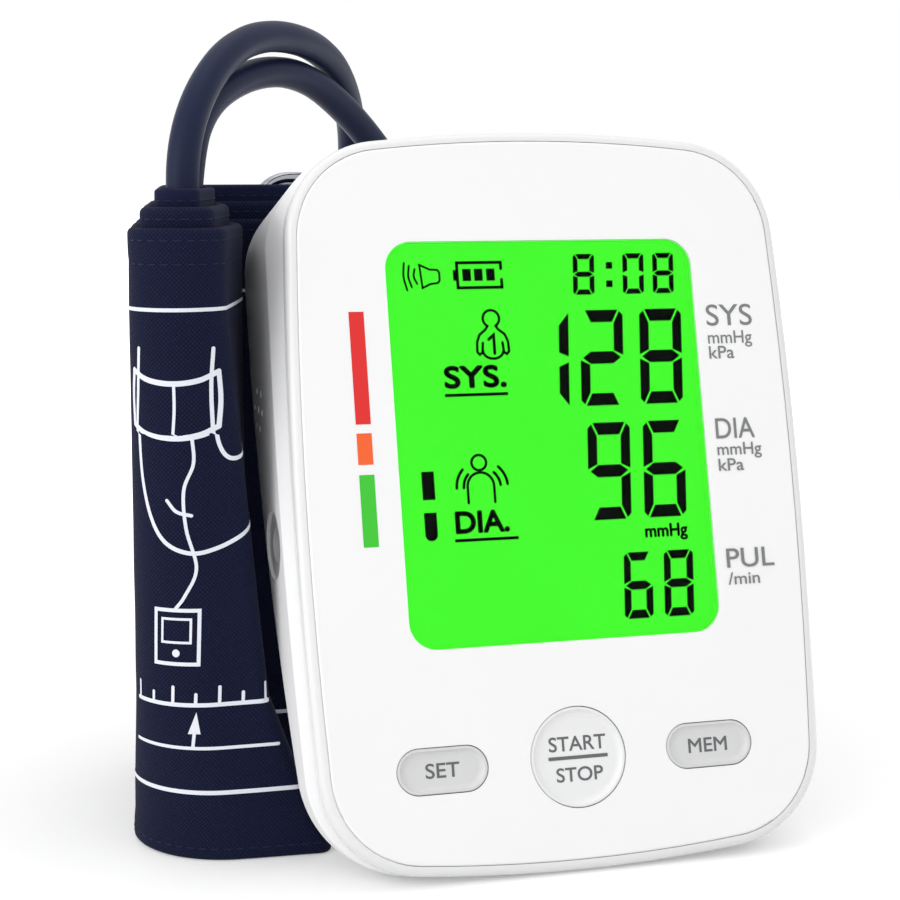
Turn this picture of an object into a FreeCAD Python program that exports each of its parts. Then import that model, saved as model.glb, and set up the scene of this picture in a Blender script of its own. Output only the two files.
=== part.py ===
"""Upper-arm blood pressure monitor with its rolled cuff, D-ring and air hose, in millimetres.

The monitor leans back on its narrow bottom wall. All its pieces are drawn on a bench frame: x to the right,
y up the face and z out of the face, so that depth into the housing is negative z. Two reference objects place
them: monitor_frame stands the bench frame on the table, and back_frame lies in the slanted back plane.
The cuff stands beside and behind the monitor as a flattened roll of nested cloth layers.
"""
import FreeCAD, Part
import math
import os
import Sketcher
from FreeCAD import Vector

SIZES = (
    # Posture of the monitor
    ("lean_back", 14.7, "degrees that the face leans back"),
    ("wedge", 13.33, "degrees between the seam plane and the back plane"),
    ("base_depth", 14.0, "depth of the back plane at the foot of the face"),
    # Front frame and face
    ("front_wide", 108.8, "front frame, widest"),
    ("front_tall", 151.1, "front frame, tallest"),
    ("side_bow", 1000.0, "radius of the bowed sides"),
    ("top_bow", 315.0, "radius of the bowed top"),
    ("foot_bow", 340.0, "radius of the bowed foot"),
    ("corner_round", 21.0, "radius of the outline's corners"),
    ("rim_wide", 2.1, "rim between the frame's edge and the face panel"),
    ("rim_round", 1.9, "bullnose of the rim"),
    ("rim_sink", 0.2, "rim below the face"),
    ("panel_thick", 2.4, "face panel"),
    ("panel_round", 0.6, "edge of the face panel"),
    ("floor_thick", 1.2, "floor of the front frame behind the panel"),
    ("seam_gap", 0.2, "shadow gap between front frame and rear housing"),
    ("skirt_deep", 3.4, "locating skirt of the front frame"),
    ("skirt_thick", 1.2, "wall of the skirt"),
    ("play", 0.15, "clearance of pieces that slip together"),
    # Display
    ("view_wide", 66.0, "display window"),
    ("view_tall", 82.1, "display window"),
    ("view_round", 5.5, "display window corner"),
    ("view_middle", 86.8, "height of the window's middle up the face"),
    ("lens_sink", 0.1, "lens below the face"),
    ("lens_gap", 0.3, "air between lens and liquid crystal panel"),
    ("glass_thick", 2.2, "liquid crystal panel"),
    ("light_thick", 3.4, "light guide behind the panel"),
    ("holder_wall", 2.2, "wall of the display holder"),
    # Circuit board
    ("board_front", 9.6, "depth of the board's front face"),
    ("board_thick", 1.6, "board"),
    ("board_wide", 90.0, "board"),
    ("post_wide", 5.6, "board post"),
    ("board_low", 17.6, "board's lower edge"),
    ("board_down", 19.6, "board's upper edge below the frame's top"),
    # Buttons
    ("start_wide", 20.0, "start button"),
    ("start_up", 22.4, "height of the start button's middle"),
    ("pill_wide", 18.6, "set and memory buttons"),
    ("pill_tall", 9.0, "set and memory buttons"),
    ("pill_aside", 28.3, "from the middle line to a pill button"),
    ("set_up", 22.0, "height of the set button's middle"),
    ("mem_up", 22.7, "height of the memory button's middle"),
    ("dish_deep", 0.8, "hollow in each button's top"),
    ("press_travel", 0.8, "button travel"),
    ("flange_wide", 1.4, "button flange beyond its cap"),
    ("flange_thick", 1.2, "button flange"),
    # Rear housing
    ("rear_wide", 112.6, "rear housing, widest"),
    ("rear_high", 150.8, "rear housing, top"),
    ("seam_wide", 108.4, "rear housing at the seam"),
    ("edge_round", 7.0, "edge between the back and the walls"),
    ("wall", 2.0, "housing wall"),
    ("flare_low", 117.0, "half width of the side bevel's section at the foot"),
    ("flare_high", 58.0, "half width of the side bevel's section at the top"),
    # Screws and feet
    ("boss_aside", 43.5, "from the middle line to a screw"),
    ("boss_low", 13.8, "lower screws up the face"),
    ("boss_down", 14.7, "upper screws below the frame's top"),
    ("boss_wide", 8.0, "screw boss"),
    ("boss_meet", 11.0, "depth where the bosses of both shells meet"),
    ("head_seat", 14.0, "depth of the seat of a screw's head"),
    ("screw_wide", 2.6, "screw shank"),
    ("head_wide", 5.2, "screw head"),
    ("head_tall", 1.8, "screw head"),
    ("foot_wide", 8.0, "rubber foot"),
    ("foot_thick", 1.2, "rubber foot"),
    ("foot_aside", 33.0, "from the middle line to a foot"),
    ("foot_low", 14.0, "lower feet up the back"),
    ("foot_high", 142.6, "upper feet up the back"),
    # Battery bay, in the back frame
    ("bay_left", -21.0, "inside of the bay"),
    ("bay_low", 76.0, "inside of the bay up the back"),
    ("cell_wide", 14.2, "AA cell"),
    ("cell_long", 49.2, "AA cell without its nub"),
    ("nub_wide", 5.4, "nub of a cell"),
    ("nub_long", 1.2, "nub of a cell"),
    ("cell_pitch", 14.9, "from cell to cell"),
    ("spring_long", 4.6, "compressed battery spring"),
    ("contact_thick", 0.4, "battery contact"),
    ("bay_wall", 1.6, "wall of the bay"),
    ("door_thick", 2.0, "battery door"),
    ("door_margin", 2.4, "door beyond the bay on each side"),
    ("door_gap", 0.3, "gap round the door"),
    ("door_tab", 8.0, "width of a hinge tab"),
    ("tab_round", 0.65, "radius of a tab's end on the hinge line"),
    ("hinge_down", 1.4, "hinge line below the door's edge"),
    ("hinge_in", 0.7, "hinge line inside the back plane"),
    # Air parts
    ("jack_up", 69.0, "height of the air line up the face"),
    ("jack_bore", 7.2, "bore of the air jack"),
    ("jack_deep", 8.0, "depth of that bore"),
    ("jack_end_wall", 1.6, "jack behind its bore"),
    ("barb_long", 3.2, "barb of a nipple"),
    ("jack_wide", 10.4, "body of the air jack"),
    ("jack_flange", 13.8, "flange of the air jack"),
    ("nipple_wide", 4.0, "hose nipples inside"),
    ("air_tube", 5.6, "silicone tube inside, outer"),
    ("motor_wide", 20.0, "pump motor"),
    ("motor_long", 22.0, "pump motor"),
    ("pump_head", 12.0, "length of the pump's head"),
    ("pump_low", 96.0, "foot of the pump up the back"),
    ("pump_in", 20.3, "pump's axis inside the left wall"),
    ("sleeve_thick", 1.96, "foam sleeve of the pump"),
    ("sleeve_long", 14.0, "foam sleeve of the pump"),
    ("valve_aside", 20.0, "bleed valve beside the pump's axis"),
    ("valve_wide", 18.0, "bleed valve"),
    ("valve_tall", 13.0, "bleed valve"),
    ("sensor_aside", 6.0, "pressure sensor beside the pump's axis"),
    ("sensor_wide", 10.0, "pressure sensor"),
    ("sensor_down", 17.0, "pressure sensor below the air line"),
    ("socket_wide", 9.0, "power socket"),
    ("socket_tall", 3.2, "power socket"),
    ("socket_long", 7.4, "power socket"),
    # Speaker
    ("speaker_up", 98.0, "speaker up the face"),
    ("speaker_in", 24.5, "depth of the speaker's middle"),
    ("speaker_wide", 12.0, "speaker"),
    ("speaker_thick", 3.5, "speaker"),
    ("grille_ring", 4.2, "radius of the ring of sound holes"),
    ("grille_hole", 1.4, "sound hole"),
    ("speaker_set", 0.45, "speaker's seat inside the wall, for the side's bow"),
    # Cuff roll
    ("side_gap", 0.9, "between housing and roll"),
    ("back_gap", 0.4, "between the housing's top back edge and the roll"),
    ("nose_round", 10.0, "radius of the roll's front end"),
    ("nose_aside", 26.6, "from the roll's right side to its left edge at the nose"),
    ("nose_back", 37.0, "middle of the front end behind the monitor's foot"),
    ("bend_back", 60.0, "bend of the roll's right side"),
    ("fold_round", 3.0, "radius of the roll's front fold"),
    ("least_round", 0.8, "tightest fold of the cloth"),
    ("foot_spread", 13.2, "how far the roll's foot reaches behind the housing"),
    ("foot_round", 20.0, "radius of the front end at the foot"),
    ("foot_back", 47.0, "middle of the front end at the foot"),
    ("foot_front", 26.0, "front of the fold at the foot"),
    ("waist_round", 14.0, "radius of the front end at the waist"),
    ("waist_back", 41.0, "middle of the front end at the waist"),
    ("waist_front", 27.2, "front of the fold at the waist"),
    ("waist_high", 34.0, "height of the waist, where the roll passes the housing's side"),
    ("neck_high", 110.0, "height from which the roll is straight"),
    ("lobe_deep", 26.1, "depth of the part behind the monitor"),
    ("lobe_right", 28.0, "from the middle line to the lobe's right end"),
    ("lobe_left", 74.5, "from the middle line to the lobe's left side"),
    ("outer_cloth", 2.3, "outer wrap"),
    ("second_cloth", 2.6, "second wrap"),
    ("inner_cloth", 1.5, "inner wrap"),
    ("cloth_gap", 0.3, "between wraps"),
    ("outer_high", 128.0, "outer wrap"),
    ("second_high", 132.0, "second wrap"),
    ("inner_high", 135.5, "inner wrap"),
    # D-ring and its loop
    ("ring_wire", 3.0, "wire of the ring"),
    ("ring_wide", 18.0, "between the ring's legs, middle to middle"),
    ("ring_foot", 0.6, "under the ring"),
    ("ring_high", 138.3, "top of the ring"),
    ("ring_bend", 8.0, "bend of the ring's wire"),
    ("ring_aside", 44.3, "from the middle line to the ring's hinge leg"),
    ("loop_cloth", 1.1, "cloth of the loop"),
    ("loop_low", 10.0, "foot of the loop"),
    ("loop_high", 127.0, "top of the loop"),
    ("loop_tail", 15.0, "sewn tail of the loop"),
    # Hose
    ("hose_wide", 7.0, "air hose"),
    ("port_long", 7.0, "rubber port on the cuff"),
    ("port_tab", 3.0, "port's tab toward the cloth"),
    ("grip_long", 11.0, "grip of the air plug"),
    ("nozzle_long", 8.0, "nozzle of the air plug"),
)

document = FreeCAD.newDocument("arm_blood_pressure_monitor")
sheet = document.addObject("Spreadsheet::Sheet", "sizes")


class Size:
    """A length or angle: its number, and the spreadsheet expression that yields it."""

    def __init__(self, value, text):
        self.value = float(value)
        self.text = text

    def __add__(self, other):
        return Size(self.value + size(other).value, f"({self.text} + {size(other).text})")

    def __sub__(self, other):
        return Size(self.value - size(other).value, f"({self.text} - {size(other).text})")

    def __mul__(self, other):
        return Size(self.value * size(other).value, f"({self.text} * {size(other).text})")

    def __truediv__(self, other):
        return Size(self.value / size(other).value, f"({self.text} / {size(other).text})")

    def __neg__(self):
        return Size(-self.value, f"(0 - {self.text})")


def size(number):
    """Returns the number as a Size; a Size stays as it is."""
    return number if isinstance(number, Size) else Size(number, repr(float(number)))


def sine(angle):
    """Returns the sine of an angle in degrees."""
    return Size(math.sin(math.radians(angle.value)), f"sin({angle.text})")


def cosine(angle):
    """Returns the cosine of an angle in degrees."""
    return Size(math.cos(math.radians(angle.value)), f"cos({angle.text})")


def larger(first, second):
    """Returns the larger of two sizes."""
    first, second = size(first), size(second)
    return Size(max(first.value, second.value), f"max({first.text}; {second.text})")


def fill_sheet():
    """Writes every driving size with its meaning and returns them by name."""
    named = {}
    for row, (alias, value, meaning) in enumerate(SIZES, 1):
        sheet.set(f"A{row}", meaning)
        sheet.set(f"B{row}", str(value))
        sheet.setAlias(f"B{row}", alias)
        named[alias] = Size(value, f"sizes.{alias}")
    document.recompute()
    return type("Sizes", (), named)


s = fill_sheet()


def bind(target, name, value):
    """Ties a property to the sheet."""
    target.setExpression(name, size(value).text)


def shift_text(x, y, z, axis=(1, 0, 0), angle=0):
    """Returns the expression of a placement: a shift and a turn about an axis."""
    base = f"create(<<vector>>; {size(x).text}; {size(y).text}; {size(z).text})"
    turn_axis = f"create(<<vector>>; {axis[0]}; {axis[1]}; {axis[2]})"
    turn = f"create(<<rotation>>; {turn_axis}; {size(angle).text})"
    return f"create(<<placement>>; {base}; {turn})"


# Places that several pieces share
front_half = s.front_wide / 2
rear_half = s.rear_wide / 2
frame_back = s.panel_thick + s.floor_thick
seam = frame_back + s.seam_gap
boss_high = s.front_tall - s.boss_down
board_high = s.front_tall - s.board_down
board_back = s.board_front + s.board_thick
glass_back = s.panel_thick + s.glass_thick
light_back = glass_back + s.light_thick
bay_wide = s.cell_pitch * 4 + 0.4
bay_right = s.bay_left + bay_wide
bay_long = s.cell_long + s.nub_long + s.spring_long + s.contact_thick * 2 + 1.2
bay_high = s.bay_low + bay_long
bay_floor = s.door_thick + s.door_gap + s.cell_wide + 0.9
door_low = s.bay_low - s.door_margin
door_high = bay_high + s.door_margin
hinge_up = door_low - s.hinge_down
air_rise = s.motor_wide / 2 + s.sleeve_thick + s.wall
air_up_back = (s.jack_up - air_rise * sine(s.wedge)) / cosine(s.wedge)
air_depth = s.base_depth + air_up_back * sine(s.wedge) - air_rise * cosine(s.wedge)
pump_aside = s.pump_in - rear_half
roll_right = -(rear_half + s.side_gap)
roll_left = roll_right - s.nose_aside
tilt = s.lean_back + s.wedge
top_back = (s.rear_high * sine(s.lean_back)
            + (s.base_depth + s.rear_high * sine(s.wedge) / cosine(s.wedge)) * cosine(s.lean_back))
round_loss = s.edge_round * ((cosine(tilt) + sine(s.lean_back)) / (size(1) - sine(s.wedge)) - 1)
lobe_front = top_back - round_loss + s.back_gap
lobe_rear = lobe_front + s.lobe_deep
hinge_back = lobe_rear + s.loop_cloth + s.ring_wire / 2 + s.play
rim_reach = s.rim_round * sine(s.lean_back) + (s.rim_sink + s.rim_round) * cosine(s.lean_back) - s.rim_round
set_right = (-roll_left - rear_half) / 2
set_back = -(hinge_back + s.ring_wire / 2 + s.play / 2 + s.loop_cloth + rim_reach) / 2

nodes = []
SET = "set_frame"
MONITOR = "monitor_frame"
BACK = "back_frame"


def add_frames():
    """Adds the reference objects whose placements carry the pieces."""
    lift = seam * sine(s.lean_back)
    table = document.addObject("Part::Feature", SET)
    table.setExpression("Placement", shift_text(set_right, set_back, 0))
    bench = document.addObject("Part::Feature", MONITOR)
    stand = shift_text(0, 0, lift, (1, 0, 0), size(90) - s.lean_back)
    bench.setExpression("Placement", f"{SET}.Placement * {stand}")
    back = document.addObject("Part::Feature", BACK)
    slant = shift_text(0, 0, -s.base_depth, (1, 0, 0), -s.wedge)
    back.setExpression("Placement", f"{MONITOR}.Placement * {slant}")


def node(piece, label, frame=MONITOR):
    """Names a finished sub-part, stands it in its frame and lists it for export."""
    piece.Label = label
    piece.setExpression("Placement", f"{frame}.Placement")
    nodes.append(piece)
    return piece


class Profile:
    """A sketch on one of its body's origin planes, with every size bound to the sheet."""

    def __init__(self, body, name, plane="XY_Plane", offset=0):
        self.sketch = body.newObject("Sketcher::SketchObject", name)
        support = next(item for item in body.Origin.OriginFeatures if item.Role == plane)
        self.sketch.AttachmentSupport = [(support, "")]
        self.sketch.MapMode = "FlatFace"
        bind(self.sketch, "AttachmentOffset.Base.z", offset)

    def add(self, curve):
        """Adds a curve and returns its number."""
        return self.sketch.addGeometry(curve)

    def fix(self, kind, value, *where):
        """Adds a dimension and binds it."""
        index = self.sketch.addConstraint(Sketcher.Constraint(kind, *where, size(value).value))
        self.sketch.setExpression(f"Constraints[{index}]", size(value).text)

    def put(self, curve, end, x, y):
        """Holds a point of a curve at x, y."""
        for kind, value, axis in (("DistanceX", size(x), -2), ("DistanceY", size(y), -1)):
            if abs(value.value) < 1e-9:
                self.sketch.addConstraint(Sketcher.Constraint("PointOnObject", curve, end, axis))
            else:
                self.fix(kind, value, -1, 1, curve, end)

    def circle(self, x, y, wide):
        """Draws a circle of a diameter."""
        middle = Vector(size(x).value, size(y).value, 0)
        ring = self.add(Part.Circle(middle, Vector(0, 0, 1), size(wide).value / 2))
        self.put(ring, 3, x, y)
        self.fix("Radius", size(wide) / 2, ring)
        return self

    def polygon(self, *corners):
        """Draws straight edges through the corners."""
        points = [Vector(size(x).value, size(y).value, 0) for x, y in corners]
        edges = [self.add(Part.LineSegment(a, b)) for a, b in zip(points, points[1:] + points[:1])]
        for edge, following, corner in zip(edges, edges[1:] + edges[:1], corners):
            self.sketch.addConstraint(Sketcher.Constraint("Coincident", edge, 2, following, 1))
            self.put(edge, 1, *corner)
        return self

    def belt(self, *rounds):
        """Draws arcs joined by tangent lines, as a belt lies round pulleys: x, y, radius of each.

        The rounds run anticlockwise. A negative radius is a hollow, which the belt passes on its far side.
        """
        middles = [Vector(size(x).value, size(y).value, 0) for x, y, _ in rounds]
        radii = [size(radius).value for _, _, radius in rounds]
        leaves, enters = [], []
        count = len(rounds)
        for i in range(count):
            j = (i + 1) % count
            way = middles[j] - middles[i]
            along = Vector(way).normalize()
            aside = Vector(along.y, -along.x, 0)
            share = (radii[i] - radii[j]) / way.Length
            normal = along * share + aside * math.sqrt(1 - share * share)
            leaves.append(middles[i] + normal * radii[i])
            enters.append(middles[j] + normal * radii[j])
        lines = [self.add(Part.LineSegment(a, b)) for a, b in zip(leaves, enters)]
        for i, (x, y, radius) in enumerate(rounds):
            first, last = enters[i - 1], leaves[i]
            if radii[i] < 0:
                first, last = last, first
            arc = self.add(arc_between(middles[i], abs(radii[i]), first, last))
            entry, leave = (1, 2) if radii[i] > 0 else (2, 1)
            self.put(arc, 3, x, y)
            self.fix("Radius", radius if radii[i] > 0 else -size(radius), arc)
            self.sketch.addConstraint(Sketcher.Constraint("Tangent", lines[i - 1], 2, arc, entry))
            self.sketch.addConstraint(Sketcher.Constraint("Tangent", lines[i], 1, arc, leave))
        return self

    def slab(self, left, right, low, high, corner):
        """Draws a rectangle with rounded corners."""
        left, right, low, high, corner = (size(value) for value in (left, right, low, high, corner))
        return self.belt((left + corner, low + corner, corner), (right - corner, low + corner, corner),
                         (right - corner, high - corner, corner), (left + corner, high - corner, corner))

    def bowed(self, half, low, high, corner, side, top, foot):
        """Draws the housing's outline: four shallow arcs joined by four corner arcs."""
        half, low, high, corner = (size(value) for value in (half, low, high, corner))
        middle = (low + high) / 2
        bows = ((size(0), low + foot, foot), (half - side, middle, side),
                (size(0), high - top, top), (-(half - side), middle, side))
        guesses = ((half, low), (half, high), (-half, high), (-half, low))
        rounds = [corner_middle(bows[i], bows[(i + 1) % 4], corner.value, guesses[i]) for i in range(4)]
        joints = [(reach(bows[i], rounds[i]), reach(bows[(i + 1) % 4], rounds[i])) for i in range(4)]
        arcs = []
        for i, (x, y, radius) in enumerate(bows):
            bow_middle = Vector(x.value, y.value, 0)
            arcs.append(self.add(arc_between(bow_middle, radius.value, joints[i - 1][1], joints[i][0])))
            arcs.append(self.add(arc_between(rounds[i], corner.value, *joints[i])))
            self.put(arcs[-2], 3, x, y)
            self.fix("Radius", radius, arcs[-2])
            self.fix("Radius", corner, arcs[-1])
        for arc, following in zip(arcs, arcs[1:] + arcs[:1]):
            self.sketch.addConstraint(Sketcher.Constraint("Tangent", arc, 2, following, 1))
        return self


def arc_between(middle, radius, first, last):
    """Returns the anticlockwise arc from one point to another."""
    start = math.atan2(first.y - middle.y, first.x - middle.x)
    stop = math.atan2(last.y - middle.y, last.x - middle.x)
    if stop < start:
        stop += 2 * math.pi
    return Part.ArcOfCircle(Part.Circle(middle, Vector(0, 0, 1), radius), start, stop)


def corner_middle(bow, other, corner, guess):
    """Returns the middle of the corner arc that lies inside two bows and touches both."""
    first = Vector(bow[0].value, bow[1].value, 0)
    second = Vector(other[0].value, other[1].value, 0)
    near, far = bow[2].value - corner, other[2].value - corner
    way = second - first
    along = (near ** 2 - far ** 2 + way.Length ** 2) / (2 * way.Length)
    aside = math.sqrt(near ** 2 - along ** 2)
    unit = Vector(way).normalize()
    foot = first + unit * along
    across = Vector(unit.y, -unit.x, 0) * aside
    wanted = Vector(guess[0].value, guess[1].value, 0)
    return min((foot + across, foot - across), key=lambda point: point.distanceToPoint(wanted))


def reach(bow, corner_point):
    """Returns where the ray from a bow's middle through a corner's middle meets the bow."""
    middle = Vector(bow[0].value, bow[1].value, 0)
    return middle + (corner_point - middle).normalize() * bow[2].value


def outline(profile, half, low, high, corner):
    """Draws the monitor's bowed outline at a given size."""
    return profile.bowed(half, low, high, corner, s.side_bow, s.top_bow, s.foot_bow)


def new_body(name):
    """Adds an empty PartDesign body."""
    return document.addObject("PartDesign::Body", name)


def pad(body, profile, length, backward=True, both_ways=False):
    """Pads a profile; backward is into the housing."""
    feature = body.newObject("PartDesign::Pad", body.Name + "_pad")
    feature.Profile = profile.sketch
    feature.Reversed = backward
    feature.Midplane = both_ways
    bind(feature, "Length", length)
    document.recompute()
    return feature


def pocket(body, profile, length, forward=False, both_ways=False):
    """Pockets a profile into the housing, or forward out of the face."""
    before = body.Shape.Volume
    feature = body.newObject("PartDesign::Pocket", body.Name + "_pocket")
    feature.Profile = profile.sketch
    feature.Reversed = forward
    feature.Midplane = both_ways
    bind(feature, "Length", length)
    document.recompute()
    if body.Shape.Volume > before - 1e-6:
        raise RuntimeError(f"{feature.Name} cut nothing")
    return feature


def fillet(body, feature, names, radius):
    """Rounds named edges or faces of the last feature."""
    rounded = body.newObject("PartDesign::Fillet", body.Name + "_fillet")
    rounded.Base = (feature, names)
    bind(rounded, "Radius", radius)
    document.recompute()
    return rounded


def edges_where(shape, test):
    """Returns the names of the edges that pass a test."""
    return [f"Edge{i}" for i, edge in enumerate(shape.Edges, 1) if test(edge)]


def at_depth(depth, tolerance=1e-4):
    """Returns a test for edges that lie at one depth."""
    level = -size(depth).value

    def lies(edge):
        box = edge.BoundBox
        return abs(box.ZMin - level) < tolerance and abs(box.ZMax - level) < tolerance

    return lies


def block(x, y, z, length, width, height):
    """Adds a box by its least corner and its sizes."""
    item = document.addObject("Part::Box", "block")
    for name, value in (("Length", length), ("Width", width), ("Height", height)):
        bind(item, name, value)
    item.setExpression("Placement", shift_text(x, y, z))
    return item


AXES = {"x": ((0, 1, 0), 90), "y": ((1, 0, 0), -90), "z": ((0, 0, 1), 0), "-z": ((1, 0, 0), 180)}


def rod(x, y, z, wide, length, axis="z"):
    """Adds a cylinder that starts at a point and runs along an axis."""
    item = document.addObject("Part::Cylinder", "rod")
    bind(item, "Radius", size(wide) / 2)
    bind(item, "Height", length)
    item.setExpression("Placement", shift_text(x, y, z, *AXES[axis]))
    return item


def cut(base, *tools):
    """Cuts tools out of a base."""
    item = document.addObject("Part::Cut", "cut")
    item.Base = base
    item.Tool = tools[0] if len(tools) == 1 else fuse(*tools)
    return item


def fuse(*shapes):
    """Fuses shapes."""
    item = document.addObject("Part::MultiFuse", "fuse")
    item.Shapes = list(shapes)
    return item


def common(first, second):
    """Keeps what two shapes share."""
    item = document.addObject("Part::MultiCommon", "common")
    item.Shapes = [first, second]
    return item


def group(*shapes):
    """Keeps separate solids together in one sub-part."""
    item = document.addObject("Part::Compound", "group")
    item.Links = list(shapes)
    return item


def tube(x, y, z, wide, bore, length, axis="z"):
    """Adds a straight tube."""
    return cut(rod(x, y, z, wide, length, axis), rod(x, y, z, bore, length, axis))


# --- Front frame, face panel and display -----------------------------------------------------------------

def button_places():
    """Returns name, x, y, width and height of each button's cap."""
    return (("start", size(0), s.start_up, s.start_wide, s.start_wide),
            ("set", -s.pill_aside, s.set_up, s.pill_wide, s.pill_tall),
            ("mem", s.pill_aside, s.mem_up, s.pill_wide, s.pill_tall))


def draw_cap(profile, x, y, wide, tall, more=0):
    """Draws a button's outline, larger by a margin all round."""
    if wide is tall:
        return profile.circle(x, y, wide + size(more) * 2)
    radius = tall / 2 + more
    aside = (wide - tall) / 2
    return profile.belt((x - aside, y, radius), (x + aside, y, radius))


def make_front_frame():
    """The front shell: a rim with a bullnose, a floor behind the panel, a skirt and four screw bosses."""
    body = new_body("front_frame_body")
    rim = outline(Profile(body, "rim_outline", offset=-s.rim_sink), front_half, 0, s.front_tall, s.corner_round)
    solid = pad(body, rim, frame_back - s.rim_sink)
    solid = fillet(body, solid, edges_where(solid.Shape, at_depth(s.rim_sink)), s.rim_round)
    tray = outline(Profile(body, "tray_outline", offset=-s.panel_thick), front_half - s.rim_wide, s.rim_wide,
                   s.front_tall - s.rim_wide, s.corner_round - s.rim_wide)
    pocket(body, tray, s.panel_thick, forward=True)
    window = Profile(body, "floor_window", offset=-s.panel_thick)
    slack = s.play * 3
    window.slab(-s.view_wide / 2 - slack, s.view_wide / 2 + slack, s.view_middle - s.view_tall / 2 - slack,
                s.view_middle + s.view_tall / 2 + slack, s.view_round + slack)
    pocket(body, window, s.floor_thick * 2)
    for name, x, y, wide, tall in button_places():
        hole = draw_cap(Profile(body, name + "_floor_hole", offset=-s.panel_thick), x, y, wide, tall, s.play)
        pocket(body, hole, s.floor_thick * 2)
    slot = s.wall + s.play + (front_half - s.seam_wide / 2)
    skirt = Profile(body, "skirt_outline", offset=-frame_back)
    foot_rise = s.skirt_deep * sine(s.lean_back) / cosine(s.lean_back)
    outline(skirt, front_half - slot, slot + foot_rise, s.front_tall - slot, s.corner_round - slot)
    deep = slot + s.skirt_thick
    outline(skirt, front_half - deep, deep + foot_rise, s.front_tall - deep, s.corner_round - deep)
    pad(body, skirt, s.skirt_deep)
    for aside in (-s.boss_aside, s.boss_aside):
        for up in (s.boss_low, boss_high):
            boss = Profile(body, "boss_outline", offset=-frame_back)
            boss.circle(aside, up, s.boss_wide - s.play * 10).circle(aside, up, s.screw_wide - s.play * 2)
            pad(body, boss, s.boss_meet - frame_back)
    node(body, "front_frame")


def make_face_panel():
    """The smooth face sheet that lies in the front frame, with its window and button holes."""
    body = new_body("face_panel_body")
    inset = s.rim_wide + s.play / 3
    sheet_outline = outline(Profile(body, "panel_outline"), front_half - inset, inset, s.front_tall - inset,
                            s.corner_round - inset)
    solid = pad(body, sheet_outline, s.panel_thick)
    fillet(body, solid, edges_where(solid.Shape, at_depth(0)), s.panel_round)
    window = Profile(body, "panel_window")
    window.slab(-s.view_wide / 2 - s.play, s.view_wide / 2 + s.play, s.view_middle - s.view_tall / 2 - s.play,
                s.view_middle + s.view_tall / 2 + s.play, s.view_round + s.play)
    pocket(body, window, s.panel_thick)
    for name, x, y, wide, tall in button_places():
        pocket(body, draw_cap(Profile(body, name + "_hole"), x, y, wide, tall, s.play), s.panel_thick)
    node(body, "face_panel")


def make_display():
    """Lens, liquid crystal panel, light guide and the holder that clips them to the board."""
    half_wide, half_tall = s.view_wide / 2, s.view_tall / 2
    low, high = s.view_middle - half_tall, s.view_middle + half_tall
    lens = new_body("lens_body")
    face = Profile(lens, "lens_outline", offset=-s.lens_sink).slab(-half_wide, half_wide, low, high, s.view_round)
    solid = pad(lens, face, s.panel_thick - s.lens_sink - s.lens_gap)
    fillet(lens, solid, edges_where(solid.Shape, at_depth(s.lens_sink)), s.lens_sink * 3)
    node(lens, "display_window")
    more = s.play * 2
    layers = ("lcd_panel", s.panel_thick, s.glass_thick), ("backlight", glass_back, s.light_thick)
    for label, front, thick in layers:
        layer = new_body(label + "_body")
        square = Profile(layer, label + "_outline", offset=-front)
        square.slab(-half_wide - more, half_wide + more, low - more, high + more, s.view_round)
        pad(layer, square, thick)
        node(layer, label)
    holder = new_body("lcd_holder_body")
    walls = Profile(holder, "holder_outline", offset=-frame_back)
    edge = more + s.play + s.holder_wall
    walls.slab(-half_wide - edge, half_wide + edge, low - edge, high + edge, s.view_round + s.holder_wall)
    pad(holder, walls, s.board_front - frame_back)
    inside = Profile(holder, "holder_inside", offset=-frame_back)
    gap = more + s.play
    inside.slab(-half_wide - gap, half_wide + gap, low - gap, high + gap, s.view_round)
    pocket(holder, inside, light_back - frame_back)
    view = Profile(holder, "holder_view", offset=-light_back)
    view.slab(-half_wide + s.holder_wall, half_wide - s.holder_wall, low + s.holder_wall, high - s.holder_wall,
              s.view_round)
    pocket(holder, view, s.board_front - light_back)
    node(holder, "lcd_holder")


def make_buttons():
    """Three caps with a dished top and a flange that holds them behind the front frame."""
    flange_front = frame_back + s.play
    for name, x, y, wide, tall in button_places():
        body = new_body(name + "_button_body")
        cap = draw_cap(Profile(body, name + "_cap", offset=-s.lens_sink), x, y, wide, tall, 0)
        pad(body, cap, flange_front + s.flange_thick - s.lens_sink)
        flange = draw_cap(Profile(body, name + "_flange", offset=-flange_front), x, y, wide, tall, s.flange_wide)
        pad(body, flange, s.flange_thick)
        top = body.Shape
        fillet(body, body.Tip, edges_where(top, at_depth(s.lens_sink)), s.play * 2)
        dish = new_body(name + "_dish_body")
        bowl = draw_cap(Profile(dish, name + "_bowl", offset=s.dish_deep), x, y, wide, tall, -s.dish_deep / 2)
        hollow = pad(dish, bowl, s.dish_deep * 2 + s.lens_sink)
        fillet(dish, hollow, edges_where(hollow.Shape, at_depth(s.dish_deep + s.lens_sink)), s.dish_deep * 1.8)
        node(cut(body, dish), name + "_button")


# --- Circuit board and what it carries --------------------------------------------------------------------

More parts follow.
